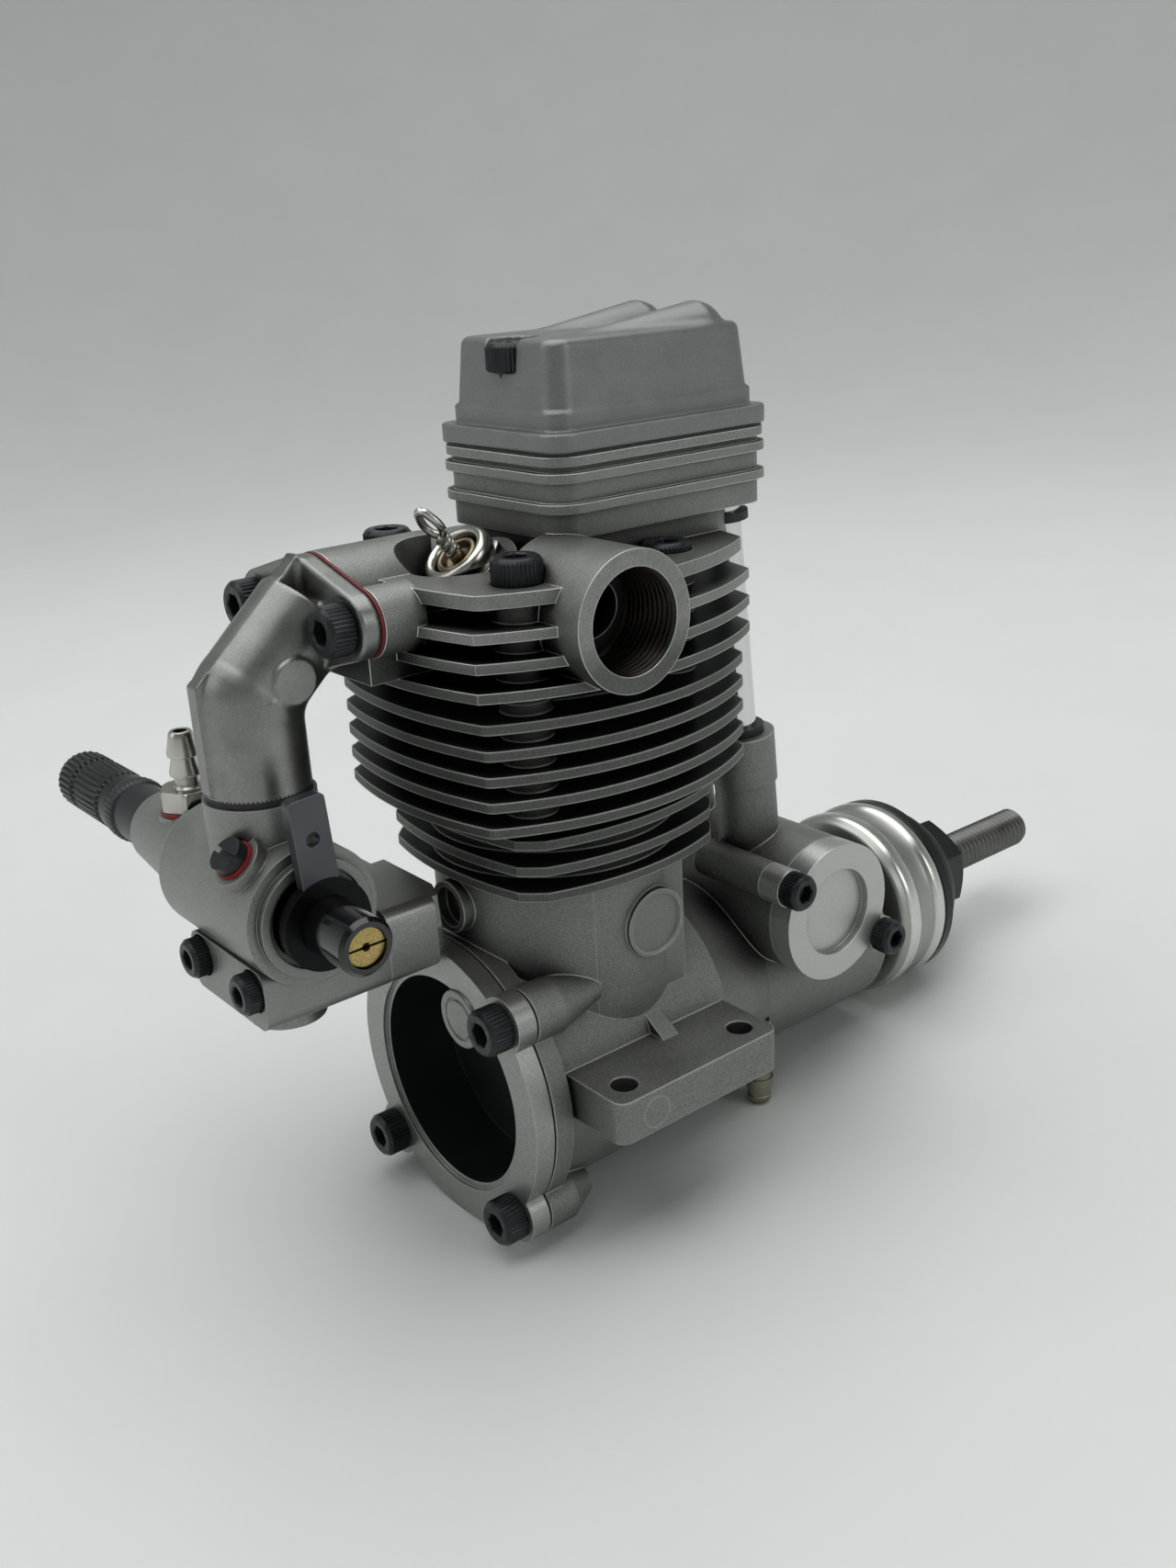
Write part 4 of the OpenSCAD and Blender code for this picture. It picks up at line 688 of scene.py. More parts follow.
def skin(field, lo, hi, step):
    """Surface of a distance field as points and quads.

    Each grid cell with corners on both sides of the surface gets one point, at the mean of
    the places where the surface crosses its edges. Each grid edge that crosses the surface
    joins its four cells by a quad. The points are then slid down the field's gradient onto
    the surface.
    """
    axes = [np.arange(a - step, b + 2 * step, step) for a, b in zip(lo, hi)]
    grid = np.meshgrid(*axes, indexing="ij")
    value = field(grid)
    shape = value.shape
    corners = [(i, j, k) for i in (0, 1) for j in (0, 1) for k in (0, 1)]

    def at(corner, array=value):
        return array[tuple(slice(c, n - 1 + c) for c, n in zip(corner, shape))]

    inside = np.zeros([n - 1 for n in shape], int)
    for corner in corners:
        inside += at(corner) < 0
    cells = np.argwhere((inside > 0) & (inside < 8))
    number = np.full([n - 1 for n in shape], -1)
    number[tuple(cells.T)] = np.arange(len(cells))
    total = np.zeros((len(cells), 3))
    count = np.zeros(len(cells))
    for first in corners:
        for axis in range(3):
            if first[axis]:
                continue
            second = tuple(c + (i == axis) for i, c in enumerate(first))
            v0 = value[tuple((cells + first).T)]
            v1 = value[tuple((cells + second).T)]
            crossed = (v0 < 0) != (v1 < 0)
            share = np.where(crossed, v0 / np.where(crossed, v0 - v1, 1), 0)
            spot = cells + np.asarray(first, float)
            spot[:, axis] += share
            total += np.where(crossed[:, None], spot, 0)
            count += crossed
    points = total / count[:, None] * step + [a[0] for a in axes]
    quads = []
    for axis in range(3):
        one = tuple(slice(0 if i == axis else 1, n - 1) for i, n in enumerate(shape))
        two = tuple(slice(1, n if i == axis else n - 1) for i, n in enumerate(shape))
        low, high = value[one] < 0, value[two] < 0
        for wanted, order in ((low & ~high, 1), (~low & high, -1)):
            spots = np.argwhere(wanted)
            if not len(spots):
                continue
            spots = spots + [0 if i == axis else 1 for i in range(3)]
            b, c = (axis + 1) % 3, (axis + 2) % 3
            ring = []
            for db, dc in ((-1, -1), (0, -1), (0, 0), (-1, 0)):
                cell = spots.copy()
                cell[:, b] += db
                cell[:, c] += dc
                ring.append(number[tuple(cell.T)])
            quads.append(np.stack(ring[::order], axis=-1))
    for _ in range(3):
        slope = gradient(field, points)
        here = field([points[:, i] for i in range(3)])
        points -= slope * np.clip(here, -0.5 * step, 0.5 * step)[:, None]
    return points, np.vstack(quads)


def gradient(field, points, reach=0.02):
    """Unit slope of the field at each point, by central differences."""
    slope = np.zeros_like(points)
    for i in range(3):
        ahead, behind = points.copy(), points.copy()
        ahead[:, i] += reach
        behind[:, i] -= reach
        slope[:, i] = (field([ahead[:, j] for j in range(3)])
                       - field([behind[:, j] for j in range(3)]))
    return slope / np.maximum(np.linalg.norm(slope, axis=1), 1e-9)[:, None]


def cast_piece(name, field, lo, hi, step, finish, body, replaces):
    """A casting from a distance field, shaded by the field's own slope."""
    points, quads = skin(field, lo, hi, step)
    mesh = bpy.data.meshes.new(name)
    mesh.from_pydata(points * MM, [], quads.tolist())
    mesh.polygons.foreach_set("use_smooth", np.ones(len(mesh.polygons), bool))
    mesh.normals_split_custom_set_from_vertices(gradient(field, points, 0.06).tolist())
    give_finish(tie_piece(name, mesh, body, replaces), finish)


# Fasteners

def add_cap_screw(shell, seat, axis, d, length, knurls):
    """Hexagon socket cap screw with its head standing on the seat.

    The head's side has one ridge for each of the knurls, and the socket's wall follows a
    hexagon.
    """
    head, flats = HEAD_RADIUS * d, 0.83 * d
    n = knurls * 4

    def shape(radius, t):
        ridge = 0.5 - 0.5 * np.cos(t * knurls)
        out = radius.copy()
        out[5:7] -= 0.16 * ridge
        out[11:13] = hexagon_radius(t, flats)
        return out

    profile = [
        (-length, 0), (-length, d / 2 - 0.25), (-length + 0.25, d / 2), (0, d / 2),
        (0, head - 0.2), (0.2, head), (d - 0.5, head), (d - 0.42, head - 0.12),
        (d - 0.16, head - 0.26), (d, head - 0.5), (d, flats * 0.6),
        (d - 0.14, flats / 2), (d * 0.45, flats / 2), (d * 0.36, flats / 4), (d * 0.33, 0),
    ]
    shell.grid(turned(profile, seat, axis, n, shape))


def screw_group(name, node, places, axis, d, length):
    """Like screws that one node holds, as one piece."""
    shell = Shell()
    for place in places:
        add_cap_screw(shell, place, axis, d, length, sizes().screw_knurls)
    piece = shell.make(name, "engine_block", (node,), 30.0)
    give_finish(piece, "blackened")


def node_box(node):
    """A node's box in millimetres as two corners."""
    lo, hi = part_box(node)
    return np.asarray(lo, float) / MM, np.asarray(hi, float) / MM


class ENGINE_OT_screws(bpy.types.Operator):
    """Makes the knurled cap screws"""

    bl_idname = "engine.screws"
    bl_label = "Cap screws"

    def execute(self, context):
        big, small = BIG_SCREW, SMALL_SCREW
        both = (-1, 1)
        screw_group("head_cap_screws", "head_screws",
                    [(s * 12.2, y, z) for s in both for y, z in ((-11.9, 61.0), (8.6, 59.2))],
                    ALONG_Z, big, 22.0)
        lo, hi = node_box("rocker_cover_screws")
        head = HEAD_RADIUS * big
        screw_group("cover_cap_screws", "rocker_cover_screws",
                    [(0, y, hi[2] - big) for y in (lo[1] + head, hi[1] - head)],
                    ALONG_Z, big, hi[2] - lo[2] - big)
        screw_group("back_cap_screws", "back_cover_screws",
                    [(s * 12.45, -18.4, t * 12.45) for s in both for t in both],
                    REARWARDS, big, 7.8)
        screw_group("pipe_cap_screws", "manifold_screws",
                    [(CARB_X + s * FLANGE_REACH, FLANGE_Y, FLANGE_Z) for s in both],
                    REARWARDS, big, 7.2)
        screw_group("clamp_cap_screws", "carburettor_screws",
                    [(CARB_X + s * 6, -40.6, 20.7) for s in both], REARWARDS, small, 19.0)
        turn, reach = math.radians(-35), 10.45
        screw_group("cam_cap_screws", "cam_cover_screws",
                    [(18.7, 30 + s * reach * math.cos(turn), 12.1 + s * reach * math.sin(turn))
                     for s in both], ALONG_X, small, 9.0)
        return {"FINISHED"}


# Glow plug

class ENGINE_OT_plug(bpy.types.Operator):
    """Turns the glow plug and twists its wire loop"""

    bl_idname = "engine.plug"
    bl_label = "Glow plug"

    def execute(self, context):
        lean = math.radians(PLUG_LEAN)
        axis = (0, -math.sin(lean), math.cos(lean))

        def hexagon(radius, t):
            out = radius.copy()
            out[4:6] = np.minimum(hexagon_radius(t, 8.0), 4.45)
            return out

        body = [(-12.3, 0), (-12.3, 2.6), (-11.9, 3.0), (-3.0, 3.0), (-3.0, 4), (-1.6, 4),
                (-1.5, 3.95), (-0.9, 4.1), (-0.2, 4.1), (0.2, 4.0), (0.48, 3.75), (0.6, 3.4),
                (0.5, 3.05), (0.2, 2.8), (-0.3, 2.7), (-0.7, 2.65), (-0.75, 2.4)]
        turned_piece("plug_body", "nickel", "engine_block", "glow_plug", body, PLUG_AT,
                     axis, 96, 35.0, hexagon)
        cup = [(-0.9, 2.66), (-0.1, 2.5), (0.12, 2.3), (0.18, 2.1), (0.05, 1.9), (-0.5, 1.8),
               (-0.9, 1.4), (-0.9, 0.9), (0.3, 0.8), (0.6, 0.6), (0.7, 0)]
        turned_piece("plug_cup", "plug_inside", "engine_block", "glow_plug", cup,
                     PLUG_AT, axis, 64, 50.0)
        self.loop(axis)
        return {"FINISHED"}

    def loop(self, axis):
        """Two strands of wire wound round each other that part into an eye at the top.

        A strand's centre is at height h and stands off the axis by the half width w(h) at the
        angle turns * h. Below the eye w is the wire's radius; in the eye it swells as a sine.
        """
        u, v, w = frame_of(axis)
        s = np.linspace(0, 1, 150)
        wire = 0.46
        twist_top, eye_top = 3.0, 6.6
        up_h = 0.3 + (eye_top - 0.3) * np.sin(s * np.pi)
        angle = 2 * np.pi * 1.53 * np.clip(up_h / twist_top, 0, 1) + np.where(s > 0.5, np.pi, 0)
        rise = np.clip((up_h - twist_top) / (eye_top - twist_top), 0, 1)
        half = 0.44 + 0.85 * np.sin(np.pi * np.minimum(rise, 0.999) ** 0.8)
        half = np.where(rise > 0.96, half * 0.2, half)
        centre = (np.asarray(PLUG_AT) + up_h[:, None] * w
                  + half[:, None] * (np.cos(angle)[:, None] * u + np.sin(angle)[:, None] * v))
        shell = Shell()
        tube(shell, centre, wire, 14)
        piece = shell.make("plug_loop", "engine_block", ("glow_plug",), 60.0)
        give_finish(piece, "nickel")


def swept(path, radius, n):
    """Circles of a radius set square to a path, carried along it without twisting."""
    ahead = np.gradient(path, axis=0)
    ahead /= np.linalg.norm(ahead, axis=1)[:, None]
    side = np.zeros_like(path)
    start = np.cross(ahead[0], (0.3, 0.2, 1.0))
    side[0] = start / np.linalg.norm(start)
    for i in range(1, len(path)):
        s = side[i - 1] - ahead[i] * (side[i - 1] @ ahead[i])
        side[i] = s / np.linalg.norm(s)
    other = np.cross(ahead, side)
    t = circle(n)
    return path[:, None] + radius * (
        np.cos(t)[None, :, None] * side[:, None] + np.sin(t)[None, :, None] * other[:, None])


def tube(shell, path, radius, n):
    """A round wire along a path, closed at both ends."""
    rings = swept(path, radius, n)
    shell.grid(rings)
    shell.cap(rings[0])
    shell.cap(rings[-1], flip=True)


# Castings

class ENGINE_OT_cover(bpy.types.Operator):
    """Casts the rocker cover with its two bulges and screw pockets"""

    bl_idname = "engine.cover"
    bl_label = "Rocker cover"

    def execute(self, context):
        lo, hi = node_box("rocker_cover")
        z0 = lo[2]
        half, rear, front = hi[0] - 0.6, lo[1] + 0.6, hi[1] - 0.6
        roof = z0 + 11.3
        screws_lo, screws_hi = node_box("rocker_cover_screws")
        head = HEAD_RADIUS * BIG_SCREW
        pockets = (screws_lo[1] + head, screws_hi[1] - head)
        seat = screws_hi[2] - BIG_SCREW
        # A pushrod leans rearwards, so its foot is at its box's front and its tip at the rear.
        rods = []
        for node in ("intake_pushrod", "exhaust_pushrod"):
            rod_lo, rod_hi = node_box(node)
            r = (rod_hi[0] - rod_lo[0]) / 2
            x_rod = (rod_lo[0] + rod_hi[0]) / 2
            foot = np.array((x_rod, rod_hi[1] - r, rod_lo[2]))
            tip = np.array((x_rod, rod_lo[1] + r, rod_hi[2]))
            rods.append((foot, tip + (tip - foot) * 0.06, r + 0.5))

        def field(p):
            x, y, z = p
            rim = f_slab(flat_rounded(x, y, half + 0.6, rear - 0.6, front + 0.6, 2.9), z,
                         z0, z0 + 2.1, 0.3)
            band = f_slab(flat_rounded(x, y, half - 0.75, rear + 0.75, front - 0.75, 2.3), z,
                          z0, z0 + 4.15, 0.3)
            share = np.clip((z - z0 - 4) / 7.3, 0, 1)
            middle = (rear + front) / 2
            u = x / (1 - 0.075 * share)
            v = middle + (y - middle) / (1 - 0.04 * share)
            body = f_slab(flat_rounded(u, v, half - 1.05, rear + 1.05, front - 1.05, 2.4), z,
                          z0, roof, 0.9)
            out = f_join(f_join(rim, band, 0.25), body, 0.3)
            for s in (-1, 1):
                bulge = f_drop(p, (s * 3.9, -0.5, roof - 1.53),
                               (s * 4.9, front - 6.2, roof - 1.38), 0.9, 3.75)
                out = f_join(out, bulge, 0.7)
            hollow = f_slab(flat_rounded(x, y, half - 2.6, rear + 2.6, front - 2.6, 2.6), z,
                            z0 - 2, roof - 2.6, 0.5)
            for y_screw in pockets:
                pillar = f_rod(p, (0, y_screw, z0 - 1), (0, y_screw, roof), 3.6)
                hollow = f_cut(hollow, pillar)
            for foot, above, r in rods:
                hollow = np.minimum(hollow, f_rod(p, foot, above, r))
            out = f_cut(out, hollow)
            for y_screw, way in zip(pockets, (-1, 1)):
                pocket = f_rod(p, (0, y_screw, seat), (0, y_screw, roof + 9), 2.85)
                slot = f_box(p, (-2.3, min(y_screw, y_screw + way * 9), seat),
                             (2.3, max(y_screw, y_screw + way * 9), roof + 9))
                out = f_cut(out, np.minimum(pocket, slot), 0.2)
            return out

        cast_piece("cover_casting", field, (-half - 0.6, rear - 0.6, z0),
                   (half + 0.6, front + 0.6, roof + 3), 0.27, "cover",
                   "engine_block", ("rocker_cover",))
        return {"FINISHED"}


class ENGINE_OT_elbow(bpy.types.Operator):
    """Casts the ribbed inlet pipe with its flange"""

    bl_idname = "engine.elbow"
    bl_label = "Inlet pipe"

    def execute(self, context):
        lo, hi = node_box("intake_manifold")
        port_z, flange, reach = FLANGE_Z, FLANGE_Y, FLANGE_REACH
        bend_z, foot = 50.8, lo[2]
        seal_z = node_box("manifold_seal")[0][2]
        bend = (CARB_X, CARB_Y, bend_z)
        corner_y, corner_z = CARB_Y - 5.35, bend_z + 2.2

        def field(p):
            x, y, z = p
            u = x - CARB_X
            leg = f_rod(p, (CARB_X, flange + 1.0, port_z + 0.4), bend, 5.6, 5.6, 0.4)
            knee = f_drop(p, bend, (CARB_X, CARB_Y + 0.1, bend_z + 0.1), 5.65, 5.65)
            pipe = f_rod(p, (CARB_X, CARB_Y, seal_z + 0.35), (CARB_X, CARB_Y, bend_z + 0.2), 5.7,
                         5.65, 0.3)
            out = np.minimum(f_join(leg, pipe, 0.9), knee)
            # The rib's edge runs straight down from the flange, turns at a corner and drops.
            slant = ((y - corner_y) * -(port_z + 5.9 - corner_z)
                     + (z - corner_z) * (flange - corner_y)) / math.hypot(
                         flange - corner_y, port_z + 5.9 - corner_z)
            upright = (corner_y - 0.7) - y
            # Inwards the rib ends at the pipe's own axis.
            slope = (flange + 1.0 - CARB_Y) / (port_z + 0.4 - bend_z)
            inward = y - CARB_Y - slope * np.maximum(z - bend_z, 0)
            blade = np.maximum(np.maximum(slant - 0.4, upright), np.abs(u) - 1.1)
            blade = np.maximum(blade, np.maximum(inward, y - flange))
            blade = np.maximum(blade, (seal_z + 1.2) - z)
            out = f_join(out, blade, 0.45)
            ends = hull_pair(np.abs(u), z - port_z, reach, 3.6, 6.2)
            plate = f_slab(ends, y, flange, flange + 2.2, 0.35)
            out = f_join(out, plate, 0.9)
            disc = f_rod(p, (CARB_X + 3, CARB_Y + 3.0, bend_z + 1.8),
                         (CARB_X + 5.75, CARB_Y + 3.0, bend_z + 1.8), 2.45, 2.45, 0.2)
            out = f_join(out, disc, 0.35)
            for s in (-1, 1):
                hole = f_rod(p, (CARB_X + s * reach, flange - 4, port_z),
                             (CARB_X + s * reach, flange + 4, port_z), 1.6)
                seat = f_rod(p, (CARB_X + s * reach, flange - 6, port_z),
                             (CARB_X + s * reach, flange, port_z), 3.05)
                out = f_cut(f_cut(out, hole), seat, 0.3)
            spigot = f_rod(p, (CARB_X, CARB_Y, foot), (CARB_X, CARB_Y, seal_z + 2), 4.9, 4.9, 0.3)
            out = np.minimum(out, spigot)
            bore = f_rod(p, (CARB_X, CARB_Y, foot - 1), (CARB_X, CARB_Y, bend_z + 1.2), 3.1)
            upper = f_rod(p, bend, (CARB_X, flange + 4, port_z + 2), 3.1)
            return f_cut(out, np.minimum(bore, upper))

        cast_piece("pipe_casting", field, (lo[0], lo[1] - 1, lo[2]), (hi[0], hi[1], hi[2] + 0.5),
                   0.3, "pipe", "engine_block", ("intake_manifold",))
        return {"FINISHED"}


def hull_pair(u, v, reach, small, large):
    """Distance to the outline that wraps a large circle at the origin and a small one at
    u = reach, for u >= 0: the nearer circle, or the straight line that touches both."""
    lean = math.asin((large - small) / reach)
    along = u * math.cos(lean) - np.abs(v) * math.sin(lean)
    away = u * math.sin(lean) + np.abs(v) * math.cos(lean)
    span_end = reach * math.cos(lean)
    out = np.where(along < 0, np.hypot(u, v) - large, away - large)
    return np.where(along > span_end, np.hypot(u - reach, v) - small, out)


# Turned pieces

def threaded(low, high, depth, pitch, per_turn=8):
    """Rows for a threaded length, and the rule that cuts the thread into them.

    The radius falls below the crest by depth times a triangle wave of height / pitch less
    angle / turn, so that the groove climbs by one pitch in each turn.
    """
    count = max(2, int((high - low) / pitch * per_turn) + 1)
    heights = np.linspace(low, high, count)

    def cut(heights_here, radius, t):
        wave = np.mod(heights_here / pitch - t / (2 * np.pi), 1.0)
        return radius - depth * (1 - np.clip(np.abs(2 * wave - 1) * 1.3 - 0.08, 0, 1))

    return heights, cut


class ENGINE_OT_shaft(bpy.types.Operator):
    """Turns the crankshaft and cuts the thread at its nose"""

    bl_idname = "engine.shaft"
    bl_label = "Crankshaft"

    def execute(self, context):
        lo, hi = node_box("crankshaft")
        tip, start = hi[1], 71.0
        web_r = hi[0]
        pitch = sizes().thread_pitch / MM
        heights, cut = threaded(start, tip - 0.7, 0.36, pitch)
        plain_rows = [(lo[1], 0), (lo[1], web_r - 0.4), (lo[1] + 0.4, web_r), (11.6, web_r),
                      (12.0, web_r - 0.4), (12.0, 5.97), (19.5, 5.97), (19.5, 3.47),
                      (57.3, 3.47), (57.3, 3.0), (start - 0.3, 3.0)]
        rows = plain_rows + [(h, 3.0) for h in heights] + [(tip - 0.45, 2.75), (tip, 2.3), (tip, 0)]
        first, last = len(plain_rows), len(plain_rows) + len(heights)

        def shape(radius, t):
            out = radius.copy()
            cosine, sine = np.cos(t), np.sin(t)
            narrow = np.maximum(6.2 / np.maximum(np.abs(cosine), 1e-6),
                                6.18 / np.maximum(sine + 0.513 * np.abs(cosine), 1e-6))
            narrow = np.where((sine > -0.2) & (np.abs(cosine) > 0.3), narrow, 99.0)
            out[1:5] = np.minimum(out[1:5], narrow)
            out[first:last] = cut(heights[:, None], out[first:last], t)
            return out

        turned_piece("shaft_thread", "shaft", "crank", "crankshaft", rows, ORIGIN,
                     ALONG_Y, 64, 35.0, shape, ALONG_X)
        return {"FINISHED"}


class ENGINE_OT_driver(bpy.types.Operator):
    """Turns the propeller driver, its washer and the nut"""

    bl_idname = "engine.driver"
    bl_label = "Propeller driver"

    def execute(self, context):
        lo, hi = node_box("prop_driver")
        back, front, r = lo[1], hi[1], hi[0]
        rows = [(back, 6.7), (back, r - 0.8), (back + 0.2, r - 0.45), (back + 0.5, r - 0.3),
                (back + 1.3, r - 0.3), (back + 1.45, r - 0.2), (back + 1.8, r - 0.02),
                (back + 2.2, r), (back + 3.3, r), (back + 3.65, r - 0.12), (back + 3.9, r - 0.4),
                (back + 4.3, r - 0.5), (back + 5.4, r - 0.55), (back + 6.5, r - 0.5),
                (back + 6.9, r - 0.4), (back + 7.15, r - 0.12), (back + 7.4, r),
                (front - 0.6, r), (front - 0.25, r - 0.1), (front, r - 0.35), (front, 5.2),
                (front - 2.2, 5.05), (back, 6.7)]
        turned_piece("driver_turned", "polished", "crank", "prop_driver", rows, ORIGIN,
                     ALONG_Y, 128, 35.0)
        self.washer()
        self.nut()
        return {"FINISHED"}

    def washer(self):
        lo, hi = node_box("prop_washer")
        r, back, front = hi[0], lo[1], hi[1]
        step = back + 1.8
        rows = [(back, 3.05), (back, r - 0.2), (back + 0.2, r), (step - 0.25, r), (step, r - 0.25),
                (step + 0.05, 11.2), (step + 0.25, 11.0), (front - 0.5, 11.0), (front - 0.15, 10.8),
                (front, 10.4), (front, 3.05), (back, 3.05)]
        turned_piece("washer_turned", "washer", "crank", "prop_washer", rows, ORIGIN,
                     ALONG_Y, 96, 35.0)

    def nut(self):
        """The hexagon's corners are cut back by a cone: the radius is the smaller of the
        hexagon's and a straight chamfer line."""
        lo, hi = node_box("prop_nut")
        back, front, corner = lo[1], hi[1], hi[0]
        flats = corner * math.sqrt(3) / 2
        count = 12
        heights = np.concatenate([np.linspace(0, 1.0, count), np.linspace(1.0, 0, count)])
        along = np.concatenate([back + np.linspace(0, 1.0, count),
                                front - np.linspace(1.0, 0, count)])
        rows = ([(back, 3.05), (back, 5.0)] + [(h, corner) for h in along]
                + [(front, 4.2), (front, 3.9), (front - 0.5, 3.3), (front - 3, 3.2), (back, 3.05)])

        def shape(radius, t):
            out = radius.copy()
            cone = flats - 0.35 + heights[:, None] * 1.7
            out[2:2 + 2 * count] = np.minimum(hexagon_radius(t, 2 * flats), cone)
            return out

        turned_piece("nut_turned", "washer", "crank", "prop_nut", rows, ORIGIN,
                     ALONG_Y, 96, 25.0, shape, ALONG_X)


class ENGINE_OT_needle(bpy.types.Operator):
    """Turns the needle's fluted knob, its holder and the two nipples"""

    bl_idname = "engine.needle"
    bl_label = "Needle and nipples"

    def execute(self, context):
        self.knob()
        self.holder()
        self.fuel()
        self.breather()
        return {"FINISHED"}

    def knob(self):
        """The knob's radius dips by a raised cosine between its flutes, and the end face is
        sawn across by a slot: points within the slot's half width drop by its depth."""
        lo, hi = node_box("needle_valve")
        end, collar = lo[0], lo[0] + 15.9
        r = (hi[2] - lo[2]) / 2
        flutes = sizes().knob_knurls
        rows = [(end, 0), (end, 1.2), (end, 2.4), (end, r - 0.7), (end + 0.2, r - 0.35),
                (end + 0.6, r - 0.1), (end + 0.9, r), (end + 4.6, r), (end + 4.9, r - 0.45),
                (end + 5.5, r - 0.45), (end + 5.8, r), (end + 12.9, r), (end + 13.2, r - 0.4),
                (end + 13.8, r - 0.4), (end + 14.0, r - 0.1), (collar - 0.2, r - 0.1),
                (collar, r - 0.3), (collar, 2.05), (collar + 5.9, 2.05), (collar + 5.9, 0.8),
                (hi[0] - 8, 0.8), (hi[0], 0.2), (hi[0], 0)]

        def shape(radius, t):
            out = radius.copy()
            dip = (0.5 - 0.5 * np.cos(t * flutes)) ** 1.5
            for row in (6, 7, 10, 11):
                out[row] -= 0.32 * dip[0]
            out[5] -= 0.12 * dip[0]
            return out

        points = turned(rows, BARREL_AXIS, ALONG_X, flutes * 8, shape)
        slot = (np.abs(points[..., 1] - CARB_Y) < 0.45) & (points[..., 0] < end + 0.3)
        points[..., 0] += np.where(slot, 1.0, 0)
        shell = Shell()
        shell.grid(points)
        piece = shell.make("needle_knob", "needle", ("needle_valve",), 35.0)
        give_finish(piece, "knob")

    def holder(self):
        lo, hi = node_box("needle_holder")
        a, r = lo[0], 3.8
        flutes = 40
        rows = [(a, 2.1), (a, 3.9), (a + 0.25, 4.1), (a + 0.6, 4.2), (a + 2.0, 4.2),
                (a + 2.3, 4.05), (a + 2.5, r), (a + 9.4, r), (a + 9.8, r - 0.4), (a + 9.8, 1.5),
                (hi[0], 1.5), (hi[0], 0.85), (a + 6, 0.85), (a + 6, 2.1), (a, 2.1)]

        def shape(radius, t):
            out = radius.copy()
            out[3:5] -= 0.14 * (0.5 - 0.5 * np.cos(t * flutes))
            return out

        turned_piece("holder_turned", "holder", "engine_block", "needle_holder",
                     rows, BARREL_AXIS, ALONG_X, flutes * 4, 35.0, shape)

    def fuel(self):
        lo, hi = node_box("fuel_nipple")
        top = hi[2]
        seat = top - 9.8
        x = (lo[0] + hi[0]) / 2

        def shape(radius, t):
            out = radius.copy()
            hexagon = hexagon_radius(t, 6.0)
            out[2] = np.minimum(hexagon, 3.25)
            out[3:5] = hexagon
            out[5] = np.minimum(hexagon, 3.2)
            return out

        rows = [(lo[2], 0.8), (lo[2], 2.0), (seat + 0.4, 3.2), (seat + 0.6, 3.4), (seat + 2.8, 3.4),
                (seat + 3.0, 3.2), (seat + 3.0, 1.75), (seat + 3.3, 1.5), (seat + 4.4, 1.45),
                (seat + 4.5, 1.85), (seat + 4.8, 1.9), (seat + 6.6, 1.45), (seat + 6.8, 1.5),
                (seat + 6.85, 1.85), (seat + 7.2, 1.9), (top - 0.7, 1.5), (top - 0.25, 1.4),
                (top, 1.2), (top, 0.8), (lo[2], 0.8)]
        turned_piece("fuel_nipple_turned", "nickel", "engine_block", "fuel_nipple", rows,
                     (x, CARB_Y, 0), ALONG_Z, 72, 30.0, shape)

    def breather(self):
        lo, hi = node_box("breather_nipple")
        x, y = (lo[0] + hi[0]) / 2, (lo[1] + hi[1]) / 2
        z = lo[2]
        rows = [(z, 0.9), (z, 1.35), (z + 0.3, 1.55), (z + 0.9, 1.6), (z + 1.0, 1.5),
                (z + 3.3, 1.9), (z + 3.5, 1.88), (z + 3.55, 1.6), (hi[2] - 0.2, 1.6),
                (hi[2], 1.5), (hi[2], 0.9), (z, 0.9)]
        turned_piece("breather_turned", "dull", "engine_block", "breather_nipple", rows,
                     (x, y, 0), ALONG_Z, 48, 30.0)


